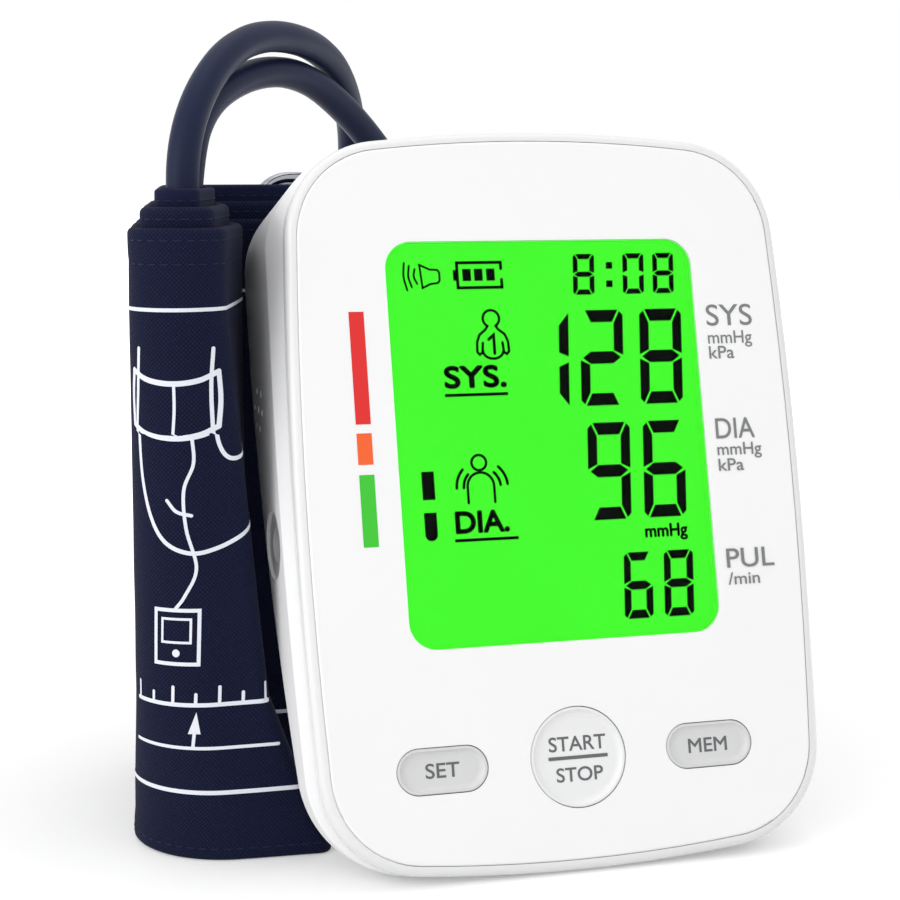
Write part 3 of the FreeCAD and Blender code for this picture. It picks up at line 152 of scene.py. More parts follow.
def mesh_object(name: str, points: Sequence[Vector], faces: Sequence[Sequence[int]]) -> Thing:
    """Makes a smooth mesh object.

    Args:
        name: its name.
        points: its points, in metres.
        faces: the numbers of each face's points.

    Returns:
        The object.
    """
    mesh = bpy.data.meshes.new(name)
    mesh.from_pydata([tuple(point) for point in points], [], faces)
    mesh.polygons.foreach_set("use_smooth", [True] * len(mesh.polygons))
    mesh.update()
    return put(name, mesh)


def between(first: Sequence[float], last: Sequence[float], share: float) -> tuple[float, ...]:
    """Returns the numbers that lie a share of the way from the first ones to the last ones."""
    return tuple(a + (b - a) * share for a, b in zip(first, last))


def arc(x: float, y: float, radius: float, first: float, last: float, count: int = 16) -> list[Point]:
    """Returns the points of an arc round a middle, from its first angle to its last one, in degrees."""
    angles = [radians(first + (last - first) * k / count) for k in range(count + 1)]
    return [(x + radius * cos(angle), y + radius * sin(angle)) for angle in angles]


# --- Finishes ---

@dataclass(frozen=True)
class Finish:
    """What every finish has: a name, and one shader whose inputs each kind of finish sets in its own way."""

    name: str

    def material(self) -> bpy.types.Material:
        """Makes the finish's material, once.

        Returns:
            The material.
        """
        made = bpy.data.materials.get(self.name)
        if made is None:
            made = bpy.data.materials.new(self.name)
            made.use_nodes = True
            tree = made.node_tree
            wire(tree.nodes["Principled BSDF"], self.inputs(tree))
        return made

    def inputs(self, tree: Tree) -> dict:
        """Returns the shader's inputs, with their nodes in the tree. Each kind of finish has its own."""
        raise NotImplementedError

    def put_on(self, piece: Thing) -> None:
        """Gives the finish to every material slot of a piece."""
        if not piece.material_slots:
            piece.data.materials.append(self.material())
        for place in piece.material_slots:
            place.material = self.material()


@dataclass(frozen=True)
class Moulded(Finish):
    """Injection-moulded plastic: an even colour with a faint mottle, and a spark-eroded grain in its gloss.

    A skin is how deep light spreads under a white one.
    """

    colour: str
    shade: str
    roughness: float
    grain_mm: float = 0.5
    depth_mm: float = 0.006
    mottle_mm: float = 30.0
    shine: float = 0.5
    coat: float = 0.0
    skin_mm: float = 0.0
    ior: float = 1.53
    swing: float = 0.15

    def inputs(self, tree: Tree) -> dict:
        """Mottles the colour, varies the gloss and adds the mould's grain.

        Args:
            tree: the nodes of the material.

        Returns:
            What goes into each input of the shader.
        """
        mottle = clouds(tree, self.mottle_mm, 3.0)
        skin = {"Subsurface Weight": 0.15, "Subsurface Radius": (1.0, 1.0, 1.0),
                "Subsurface Scale": self.skin_mm * MM} if self.skin_mm else {}
        return {"Base Color": mixed(tree, mottle, linear(self.colour), linear(self.shade)),
                "Roughness": ranged(tree, mottle, self.roughness * (1 - self.swing),
                                    self.roughness * (1 + self.swing)),
                "Normal": raised(tree, clouds(tree, self.grain_mm), self.depth_mm), "IOR": self.ior,
                "Specular IOR Level": self.shine, "Coat Weight": self.coat, "Coat Roughness": 0.06, **skin}


@dataclass(frozen=True)
class LitCrystal(Finish):
    """Liquid crystal sheet lit from behind: it glows in its lamp's colour, a little uneven."""

    light: str
    glow: float
    ground: str = "#103C0C"
    patch_mm: float = 26.0
    dimmest: float = 0.94

    def inputs(self, tree: Tree) -> dict:
        """Makes the sheet glow, a touch weaker in soft clouds away from the lamps."""
        patches = clouds(tree, self.patch_mm, 1.0)
        return {"Emission Color": mixed(tree, patches, linear(self.light), linear(self.light, self.dimmest)),
                "Emission Strength": self.glow, "Base Color": linear(self.ground), "Specular IOR Level": 0.1}


@dataclass(frozen=True)
class ClearAcrylic(Finish):
    """Cast acrylic window, polished and coated against glare: clear, with a faint reflection on its face.

    Bare acrylic has an index of 1.49. The coating leaves the reflection of a much lower one.
    """

    ior: float = 1.1
    wipe_mm: float = 18.0
    haze: float = 0.006

    def inputs(self, tree: Tree) -> dict:
        """Makes the sheet clear, with a faint haze of wiping marks in its gloss."""
        return {"Roughness": ranged(tree, clouds(tree, self.wipe_mm, 4.0), 0.0, self.haze), "IOR": self.ior,
                "Base Color": WHITE, "Transmission Weight": 1.0}


@dataclass(frozen=True)
class Ink(Finish):
    """Screen-printed ink: flat and even, with a slight tooth and little shine."""

    colour: str
    roughness: float = 0.6
    shine: float = 0.2
    tooth_mm: float = 0.25
    depth_mm: float = 0.004
    dimmest: float = 0.9

    def inputs(self, tree: Tree) -> dict:
        """Gives the ink its colour and the screen's tooth."""
        tooth = clouds(tree, self.tooth_mm)
        return {"Base Color": mixed(tree, tooth, linear(self.colour), linear(self.colour, self.dimmest)),
                "Roughness": self.roughness, "Specular IOR Level": self.shine,
                "Normal": raised(tree, tooth, self.depth_mm)}


@dataclass(frozen=True)
class Metal(Finish):
    """Plated or rolled metal: a metal's own reflection, with fine rubbing marks in its gloss."""

    colour: str
    roughness: float
    mark_mm: float = 3.0

    def inputs(self, tree: Tree) -> dict:
        """Makes the metal and rubs its gloss a little."""
        return {"Roughness": ranged(tree, clouds(tree, self.mark_mm, 5.0), self.roughness * 0.7,
                                    self.roughness * 1.4),
                "Base Color": linear(self.colour), "Metallic": 1.0}


@dataclass(frozen=True)
class OxfordNylon(Finish):
    """Woven nylon oxford cloth: a diagonal dotted weave with a painted highlight, and a dull sheen.

    Real threads lie 0.3 mm apart. They are drawn twice as coarse, so that the weave shows.
    """

    colour: str
    light: str
    painted_glint: str
    thread_mm: float = 0.62
    depth_mm: float = 0.08
    roughness: float = 0.85
    worn_mm: float = 22.0
    fuzz_mm: float = 0.9
    sheen: float = 0.015

    def inputs(self, tree: Tree) -> dict:
        """Crosses two sets of threads, mixes dark and light navy at random, and paints a highlight on the
        crossings.

        Args:
            tree: the nodes of the material.

        Returns:
            What goes into each input of the shader.
        """
        flat, threads = add(tree, "TexCoord", "UV"), []
        for turn in (45, -45):
            turned = add(tree, "Mapping", "Vector", {"Rotation": (0, 0, radians(turn)), "Vector": flat})
            # A band of the wave texture is pi / 10 of its unit wide
            threads.append(add(tree, "TexWave", "Fac", {"Scale": pi / 10 / (self.thread_mm * MM),
                                                        "Vector": turned}))
        weave = maths(tree, "MULTIPLY", *threads)
        worn = mixed(tree, clouds(tree, self.worn_mm, 4.0, "UV"), linear(self.colour), linear(self.light))
        # Painted highlight: the glint colour is mixed in where the threads cross
        painted_glint = maths(tree, "MULTIPLY", weave, clouds(tree, self.fuzz_mm, 2.0, "UV"))
        return {"Base Color": mixed(tree, painted_glint, worn, linear(self.painted_glint)), "Roughness": self.roughness,
                "Specular IOR Level": 0.1, "Sheen Weight": self.sheen,
                "Normal": raised(tree, weave, self.depth_mm)}


WHITE_SHELL = Moulded("white_abs_satin", "#F4F4F5", "#EFEFF0", 0.5, shine=0.12, skin_mm=1.2)
WHITE_FACE = Moulded("white_abs_gloss", "#F7F7F7", "#F4F4F4", 0.16, grain_mm=4.0, depth_mm=0.004, coat=0.35,
                     skin_mm=1.2)
START_GREY = Moulded("pale_start_key_plastic", "#EEEEEF", "#EAEAEB", 0.42)
# The frame's white is greyer than the face's: painted shade that gives the rim band round the face its grey
# look
WHITE_FRAME = Moulded("white_abs_frame", "#EAEAEB", "#E6E6E7", 0.25, grain_mm=4.0, depth_mm=0.004, coat=0.2,
                      skin_mm=1.2)
KEY_GREY = Moulded("pale_grey_key_plastic", "#D9D9DA", "#D3D3D4", 0.42)
DOOR_WHITE = Moulded("white_abs_door", "#F1F1F2", "#ECECED", 0.38)
FOOT_RUBBER = Moulded("grey_foot_rubber", "#4A4B4F", "#3F4044", 0.85, grain_mm=0.4, depth_mm=0.03)
LIGHT_GUIDE = LitCrystal("lit_light_guide", "#40FF28", 0.8)
CRYSTAL = LitCrystal("lit_crystal_panel", "#40FD26", 0.96)
HOLDER = Moulded("grey_holder_plastic", "#C9CACC", "#BDBEC0", 0.5)
BOARD = Moulded("green_solder_mask", "#0F5A30", "#0B4A27", 0.35, mottle_mm=3.0)
EPOXY = Moulded("black_epoxy", "#17171A", "#202024", 0.55, mottle_mm=1.5)
SILICONE = Moulded("clear_silicone_tube", "#DADAD4", "#CFCFC8", 0.5)
FOAM = Moulded("black_foam", "#1A1A1B", "#26262A", 0.95, grain_mm=0.6, depth_mm=0.2, mottle_mm=0.8)
CELL = Moulded("battery_jacket", "#25272C", "#1B1D21", 0.3, coat=0.4)
HOSE_PVC = Moulded("navy_soft_pvc", "#18213F", "#151D38", 0.45, grain_mm=1.2, depth_mm=0.03, shine=0.15)
PLUG_PLASTIC = Moulded("navy_grey_plug_plastic", "#232A45", "#1F253C", 0.42, shine=0.3)
JACK_PLASTIC = Moulded("pale_jack_plastic", "#DCDCDE", "#D4D4D6", 0.3)
PORT_RUBBER = Moulded("dark_port_rubber", "#1A1F36", "#151A2E", 0.6, depth_mm=0.02, shine=0.3)
STEEL = Metal("nickel_plated_steel", "#C9CBCE", 0.28)
CHROME = Metal("chromed_ring_wire", "#A6A9AF", 0.12)
ACRYLIC = ClearAcrylic("polished_acrylic")
# The third colour of each cloth is its painted highlight on the thread crossings
CLOTH = OxfordNylon("navy_oxford_nylon", "#0C1024", "#12172F", "#2B3156")
LINING = OxfordNylon("navy_lining_nylon", "#0E1228", "#141935", "#2B3156", thread_mm=0.5, depth_mm=0.05)
THREAD = Moulded("navy_sewing_thread", "#1B2042", "#131733", 0.7, grain_mm=0.2, depth_mm=0.03, mottle_mm=1.0,
                 shine=0.2)
LCD_INK = Ink("crystal_black", "#020403", shine=0.0)
LABEL_INK = Ink("label_grey_ink", "#838486")
KEY_INK = Ink("key_grey_ink", "#6C6D6F")
CUFF_INK = Ink("cuff_white_ink", "#EDF0FA", 0.7)


class PressureBand(Enum):
    """The three colours of the scale beside the display, with the height that each covers on the face."""

    HIGH = ("#E63534", 91.1, 113.8)
    RAISED = ("#FB6A38", 83.0, 89.3)
    NORMAL = ("#46CC3C", 66.6, 81.0)


def dress(stuff: dict[Finish, str]) -> None:
    """Gives solids their finishes. The names of all solids with a finish stand in one string."""
    for finish, names in stuff.items():
        for name in names.split():
            finish.put_on(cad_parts[name])
            log.info("dressed %s", name)


# --- Places ---

@dataclass(frozen=True)
class Table:
    """The frame the cuff and the hose are drawn in: the monitor's foot is its origin."""

    right: float = 13.75
    back: float = -57.7847

    def place(self, x: float, y: float, z: float) -> Vector:
        """Returns a point on the table, given in millimetres, in the scene's metres."""
        return Vector((x + self.right, y + self.back, z)) * MM


@dataclass(frozen=True)
class Bench(Table):
    """The frame the monitor is drawn in: x to the right, y up its face and z out of its face."""

    lean: float = 14.7
    seam: float = 3.8

    def place(self, x: float, y: float, z: float) -> Vector:
        """Returns a point of the face, given in millimetres, in the scene's metres."""
        sine, cosine = sin(radians(self.lean)), cos(radians(self.lean))
        return super().place(x, y * sine - z * cosine, y * cosine + (z + self.seam) * sine)


BENCH, TABLE = Bench(), Table()


# --- Printed artwork ---

@dataclass
class Artwork:
    """Flat print that gathers filled shapes, strokes and words, and becomes one thin piece.

    Strokes are split into steps on bent cloth. Each shape lies a hair over the one before, so that none
    lies in another.
    """

    name: str
    finish: Finish
    slant: float = 0.0
    step: float = 0.0
    hair: float = 0.002
    _layers: int = 0
    _mesh: bmesh.types.BMesh = field(default_factory=bmesh.new)

    def _layer(self) -> float:
        """Returns the height of the next shape over the first."""
        self._layers += 1
        return self._layers * self.hair

    def fill(self, points: Iterable[Point]) -> None:
        """Adds one filled shape from its corners, anticlockwise."""
        layer = self._layer()
        self._mesh.faces.new([self._mesh.verts.new((x, y, layer)) for x, y in points])

    def block(self, left: float, right: float, low: float, high: float) -> None:
        """Adds a filled box from its edges."""
        self.fill([(left, low), (right, low), (right, high), (left, high)])

    def dot(self, middle: Sequence[float], radius: float) -> None:
        """Adds a filled disc."""
        self.fill(arc(middle[0], middle[1], radius, 0, 360, 20)[:-1])

    def stroke(self, points: Sequence[Point], wide: float, closed: bool = False) -> None:
        """Adds a line of even width with round joints.

        Args:
            points: its corners.
            wide: its width.
            closed: whether its last corner joins its first.
        """
        line = [Vector(point) for point in ((*points, points[0]) if closed else points)]
        if self.step:
            line = self._split(line)
        layer = self._layer()
        first, last = (line[-2], line[1]) if closed else (line[0], line[-1])
        left, right = [], []
        for before, here, after in zip((first, *line), line, (*line[1:], last)):
            arrive, leave = (here - before).normalized(), (after - here).normalized()
            arrive, leave = arrive if arrive.length else leave, leave if leave.length else arrive
            middle = (arrive + leave).normalized()
            side = Vector((-middle.y, middle.x)) * (wide / 2 / max(0.45, middle.dot(arrive)))
            left.append(self._mesh.verts.new((*(here + side), layer)))
            right.append(self._mesh.verts.new((*(here - side), layer)))
        for k in range(len(line) - 1):
            self._mesh.faces.new((right[k], right[k + 1], left[k + 1], left[k]))
        if not closed:
            self.dot(line[0], wide / 2)
            self.dot(line[-1], wide / 2)

    def curve(self, points: Sequence[Point], wide: float) -> None:
        """Adds a line that bends smoothly through its points.

        Args:
            points: the points.
            wide: its width.
        """
        ends = [Vector(points[0]) * 2 - Vector(points[1]), *map(Vector, points),
                Vector(points[-1]) * 2 - Vector(points[-2])]
        line = []
        for p, q, r, s in zip(ends, ends[1:], ends[2:], ends[3:]):
            for u in (k / 8 for k in range(8)):
                line.append((q * 2 + (r - p) * u + (p * 2 - q * 5 + r * 4 - s) * u ** 2
                             + (q * 3 - p - r * 3 + s) * u ** 3) / 2)
        self.stroke([*line, ends[-2]], wide)

    def _split(self, line: list[Vector]) -> list[Vector]:
        """Adds points to a line.

        Args:
            line: its points.

        Returns:
            The line with no points further apart than the step.
        """
        more = [line[0]]
        for start, end in pairwise(line):
            count = max(1, ceil((end - start).length / self.step))
            more += [start.lerp(end, (k + 1) / count) for k in range(count)]
        return more

    def words(self, text: str, box: Box, weight: float) -> None:
        """Adds words.

        Args:
            text: the words.
            box: their left and right edges, and the feet and tops of their capitals.
            weight: how far the letters' edges are moved outwards.
        """
        left, right, low, high = box
        shape, tall = self._letters(text), max(vertex.co.y for vertex in self._letters("H").vertices)
        edges = [vertex.co.x for vertex in shape.vertices]
        start, stretch = min(edges), (right - left) / (max(edges) - min(edges))
        for turn in (pi * k / 4 for k in range(8)):
            first, layer = len(self._mesh.verts), self._layer()
            self._mesh.from_mesh(shape)
            self._mesh.verts.ensure_lookup_table()
            for vertex in self._mesh.verts[first:]:
                x, y, _ = vertex.co
                vertex.co = (left + (x - start) * stretch + weight * cos(turn),
                             low + y * (high - low) / tall + weight * sin(turn), layer)

    @staticmethod
    def _letters(text: str) -> bpy.types.Mesh:
        """Sets some words.

        Args:
            text: the words.

        Returns:
            Their flat mesh.
        """
        curve = bpy.data.curves.new("letters", "FONT")
        curve.body = text
        curve.resolution_u = 6
        carrier = put("letters", curve)
        bpy.context.view_layer.update()
        shape = bpy.data.meshes.new_from_object(carrier)
        bpy.data.objects.remove(carrier)
        return shape

    def lay(self, place: Place, lift: float, body: str, slot: str) -> None:
        """Lays the print on its surface.

        Args:
            place: turns a point and its lift into a place in the scene.
            lift: its height over the surface.
            body: the body that it moves with.
            slot: the record's material slot. It is not used.
        """
        bmesh.ops.triangulate(self._mesh, faces=self._mesh.faces[:])
        for vertex in self._mesh.verts:
            x, y, layer = vertex.co
            vertex.co = place(x + y * self.slant, y, lift + layer)
        mesh = bpy.data.meshes.new(self.name)
        self._mesh.to_mesh(mesh)
        self._mesh.free()
        piece = put(self.name, mesh)
        self.finish.put_on(piece)
        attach(piece, body)
        log.info("printed %s", self.name)


@dataclass(frozen=True)
class SevenSegments:
    """A row of seven-segment figures from a foot to a top: upright strokes, level bars and gaps between."""

    low: float
    high: float
    stroke: float
    bar: float
    gap: float
    LIT = {"0": "abcdef", "2": "abged", "6": "afgedc", "8": "abcdefg", "9": "abfgcd"}

    def draw(self, art: Artwork, shift: float, *row: tuple[str, float, float]) -> None:
        """Draws the row.

        Args:
            art: the print that takes it.
            shift: how far it is moved to the right.
            row: each figure with its left and right edges.
        """
        for figure, left, right in row:
            shapes = self.shapes(left + shift, right + shift)
            for name in self.LIT[figure]:
                art.fill(shapes[name])

    def shapes(self, left: float, right: float) -> dict[str, list[Point]]:
        """Shapes the seven segments of a figure.

        Args:
            left: its left edge.
            right: its right edge.

        Returns:
            The outline of each segment, by its usual letter.
        """
        low, high, t, b, g = self.low, self.high, self.stroke, self.bar, self.gap
        middle, inner = (low + high) / 2, t + g / 2
        top = [(left + t * 0.4 + g, high), (left + t + g, high - b), (right - t - g, high - b),
               (right - t * 0.4 - g, high)]
        side = [(left, high - b * 0.45), (left, middle + g * 1.5), (left + t, middle + b * 0.45 + g),
                (left + t, high - b - g), (left + t * 0.4, high - g)]
        return {
            "a": top,
            "f": side,
            "b": [(left + right - x, y) for x, y in reversed(side)],
            "d": [(x, low + high - y) for x, y in reversed(top)],
            "e": [(x, low + high - y) for x, y in reversed(side)],
            "c": [(left + right - x, low + high - y) for x, y in side],
            "g": [(left + t / 4, middle), (left + inner, middle - b / 2), (right - inner, middle - b / 2),
                  (right - t / 4, middle), (right - inner, middle + b / 2), (left + inner, middle + b / 2)],
        }


# --- The monitor ---

@dataclass
class MonitorShell:
    """The white housing with its door, feet, screws and keys, and the print on its face and keys."""

    bar_left: float = -41.3
    bar_right: float = -38.2
    label_left: float = 35.6
    label_weight: float = 0.03
    key_weight: float = 0.05
    key_dish: float = 0.9
    lift: float = 0.03

    def build(self) -> None:
        """Dresses the shell's solids and prints on them."""
        dress({WHITE_FRAME: "front_frame", WHITE_FACE: "face_panel", WHITE_SHELL: "rear_housing",
               DOOR_WHITE: "battery_door", FOOT_RUBBER: "rubber_feet", STEEL: "case_screws",
               START_GREY: "start_button", KEY_GREY: "set_button mem_button"})
        self.print_scale()
        self.print_labels()
        self.print_keys()

    def print_scale(self) -> None:
        """Prints the three bars of the pressure scale."""
        for band in PressureBand:
            colour, low, high = band.value
            art = Artwork(f"scale_bar_{band.name.lower()}", Ink(f"{band.name.lower()}_scale_ink", colour))
            art.block(self.bar_left, self.bar_right, low, high)
            art.lay(BENCH.place, self.lift, "monitor", "white_face")

    def print_labels(self) -> None:
        """Prints what the three readings are and their units."""
        art = Artwork("reading_labels", LABEL_INK)
        for text, long, low, high in (("SYS", 10.3, 109.3, 113.7), ("mmHg", 9.9, 105.5, 108.1),
                                      ("kPa", 5.6, 102.3, 104.9), ("DIA", 8.7, 85.4, 89.6),
                                      ("mmHg", 9.9, 81.9, 84.4), ("kPa", 5.6, 78.6, 81.1),
                                      ("PUL", 10.6, 58.4, 62.3), ("/min", 7.0, 54.9, 57.3)):
            art.words(text, (self.label_left, self.label_left + long, low, high), self.label_weight)
        art.lay(BENCH.place, self.lift, "monitor", "white_face")

    def print_keys(self) -> None:
        """Prints each key's words on the floor of its dish, so that they move with the key."""
        keys = {
            "start_word": ("start_key", {"START": (-5.8, 6.2, 23.7, 26.5), "STOP": (-4.6, 5.2, 17.6, 20.3)}),
            "set_word": ("set_key", {"SET": (-31.6, -24.7, 20.6, 23.4)}),
            "memory_word": ("mem_key", {"MEM": (24.1, 32.5, 21.2, 24.0)}),
        }
        for name, (body, texts) in keys.items():
            art = Artwork(name, KEY_INK)
            for text, box in texts.items():
                art.words(text, box, self.key_weight)
            if len(texts) > 1:
                art.block(-6.1, 6.5, 21.95, 22.65)
            art.lay(BENCH.place, self.lift - self.key_dish, body, "grey_button")


@dataclass
class Display:
    """The lit crystal panel behind its window, with figures and signs."""

    lift: float = -2.36
    line: float = 0.42
    lean: float = 0.062
    aside: float = 0.8
    bold: float = 0.22

    def build(self) -> None:
        """Dresses the window and what is behind it, and draws all that the panel shows."""
        dress({ACRYLIC: "display_window", CRYSTAL: "lcd_panel", LIGHT_GUIDE: "backlight",
               HOLDER: "lcd_holder"})
        self.show_readings()
        self.show_words()
        self.show_clock()
        self.show_signs()

    def place(self, x: float, y: float, z: float) -> Vector:
        """Returns the place of a point of the display, drawn from the window's middle line."""
        return BENCH.place(x + self.aside, y, z)

    def lay(self, art: Artwork) -> None:
        """Lays a print on the panel."""
        art.lay(self.place, self.lift, "monitor", "lcd_glass")

    def show_readings(self) -> None:
        """Draws the three readings, with a single stroke in two halves for the first one's hundreds."""
        art = Artwork("reading_figures", LCD_INK, slant=self.lean)
        big, shift = (2.05, 2.55, 0.3), -self.lean * 103.5
        SevenSegments(93.5, 113.5, *big).draw(art, shift, ("2", 7.0, 16.4), ("8", 20.1, 29.5))
        for half in ([(4.4, 103.9), (4.4, 113.0), (2.3, 110.4), (2.3, 104.8)],
                     [(2.3, 101.8), (2.3, 96.3), (4.4, 93.7), (4.4, 102.7)]):
            art.fill([(x + shift, y) for x, y in half])
        SevenSegments(69.8, 89.9, *big).draw(art, -self.lean * 80, ("9", 6.7, 16.0), ("6", 18.9, 28.2))
        small = SevenSegments(49.2, 62.8, 1.5, 1.75, 0.22)
        small.draw(art, -self.lean * 56, ("6", 12.6, 18.9), ("8", 21.4, 27.9))
        self.lay(art)

    def show_words(self) -> None:
        """Draws the words beside the readings, the rules under them and the mark of the last one."""
        art = Artwork("reading_words", LCD_INK)
        art.words("SYS.", (-22.4, -9.6, 98.2, 102.4), self.bold)
        art.words("DIA.", (-22.2, -11.2, 68.65, 72.8), self.bold)
        art.words("mmHg", (18.2, 27.4, 65.8, 68.3), 0.12)
        for low in (96.3, 66.8):
            art.block(-22.7, -9.3, low, low + 0.62)
        art.block(-28.8, -26.2, 75.6, 81.3)
        art.fill([(-26.2, 73.0), (-28.8, 73.0), *arc(-27.5, 68.6, 1.3, 180, 360, 12)])
        self.lay(art)

    def show_clock(self) -> None:
        """Draws the time of day."""
        art, shift = Artwork("clock_figures", LCD_INK, slant=self.lean), -self.lean * 121
        tiny = SevenSegments(116.8, 125.4, 1.05, 1.1, 0.16)
        tiny.draw(art, shift, ("8", 6.7, 11.4), ("0", 17.7, 22.4), ("8", 24.4, 29.1))
        for low in (118.3, 122.2):
            art.block(14.0 + shift, 15.4 + shift, low, low + 1.4)
        self.lay(art)

    def show_signs(self) -> None:
        """Draws the signs: a sounding speaker, a full battery, the first user and a shaking person."""
        art, thin, user = Artwork("display_signs", LCD_INK), self.line, -11.8
        art.stroke([(-26.2, 123.6), (-24.1, 122.6), (-22.5, 122.5), (-22.1, 122.0), (-22.1, 120.3),
                    (-22.5, 119.8), (-24.1, 119.6), (-25.8, 118.8)], thin, closed=True)
        for left, half in ((-29.65, 2.8), (-28.65, 2.2), (-27.5, 1.5)):
            art.curve([(left + 0.25, 121.2 + half), (left, 121.2), (left + 0.6, 121.2 - half)], thin)
        art.stroke([(-8.9, 122.6), (-8.9, 123.9), (-18.3, 123.9), (-18.3, 118.7), (-8.9, 118.7),
                    (-8.9, 120.3)], thin * 1.5)
        art.block(-19.2, -18.3, 120.2, 122.4)
        for left in (-17.2, -14.7, -12.1):
            art.block(left, left + 1.8, 120.1, 122.6)
        wide = thin * 1.25
        art.stroke(arc(user, 112.2, 1.75, -60, 240, 22), wide)
        flank = ((0.85, 110.7), (1.4, 109.9), (2.7, 108.9), (3.3, 107.4), (3.4, 105.4), (2.9, 104.8),
                 (2.3, 105.2), (2.1, 107.2))
        for way in (-1, 1):
            art.stroke([(user + x * way, y) for x, y in flank], wide)
        art.stroke([(user + (x - user) * 1.35, y) for x, y in arc(user, 105.5, 1.6, 180, 360, 14)], wide)
        art.stroke([(-12.6, 107.9), (-11.5, 108.8), (-11.5, 105.0)], wide * 1.2)
        art.stroke(arc(-16.6, 82.7, 1.55, 0, 348, 26), wide, closed=True)
        art.stroke([(-19.3, 74.6), (-19.3, 77.9), *arc(-16.5, 77.9, 2.8, 180, 0), (-13.7, 74.6)], wide)
        for radius in (3.9, 5.4):
            for first, last in ((137, 180), (5, 48)):
                art.stroke(arc(-16.2, 77.7, radius, first, last, 10), wide * 1.1)
        self.lay(art)


class Innards:
    """What is inside the housing, each with the finish of its real stuff."""

    def build(self) -> None:
        """Dresses the inner solids."""
        dress({BOARD: "main_board power_board",
               EPOXY: "board_chips push_switches pressure_sensor speaker",
               STEEL: "board_capacitors board_screws battery_springs battery_contacts bleed_valve air_pump "
                      "power_socket",
               HOLDER: "board_posts air_manifold",
               CELL: "aa_cells",
               SILICONE: "jack_tube sensor_tube pump_tube",
               FOAM: "pump_sleeve speaker_gasket",
               JACK_PLASTIC: "air_jack"})


# --- The cuff ---

@dataclass(frozen=True)
class Rail:
    """One line of a cloth band: places on the table, each with the direction that faces out of the roll."""

    spots: tuple[Box, ...]

    @cached_property
    def lengths(self) -> list[float]:
        """Returns the length along the rail at each spot."""
        return [0.0, *accumulate(dist(here[:2], there[:2]) for here, there in pairwise(self.spots))]

    def at(self, length: float) -> tuple[float, ...]:
        """Finds a spot of the rail.

        Args:
            length: how far along the rail it is.

        Returns:
            Its place and the outward direction there.
        """
        k = bisect_right(self.lengths, length, 1, len(self.lengths) - 1) - 1
        start, end = self.lengths[k:k + 2]
        return between(self.spots[k], self.spots[k + 1], (length - start) / max(1e-9, end - start))


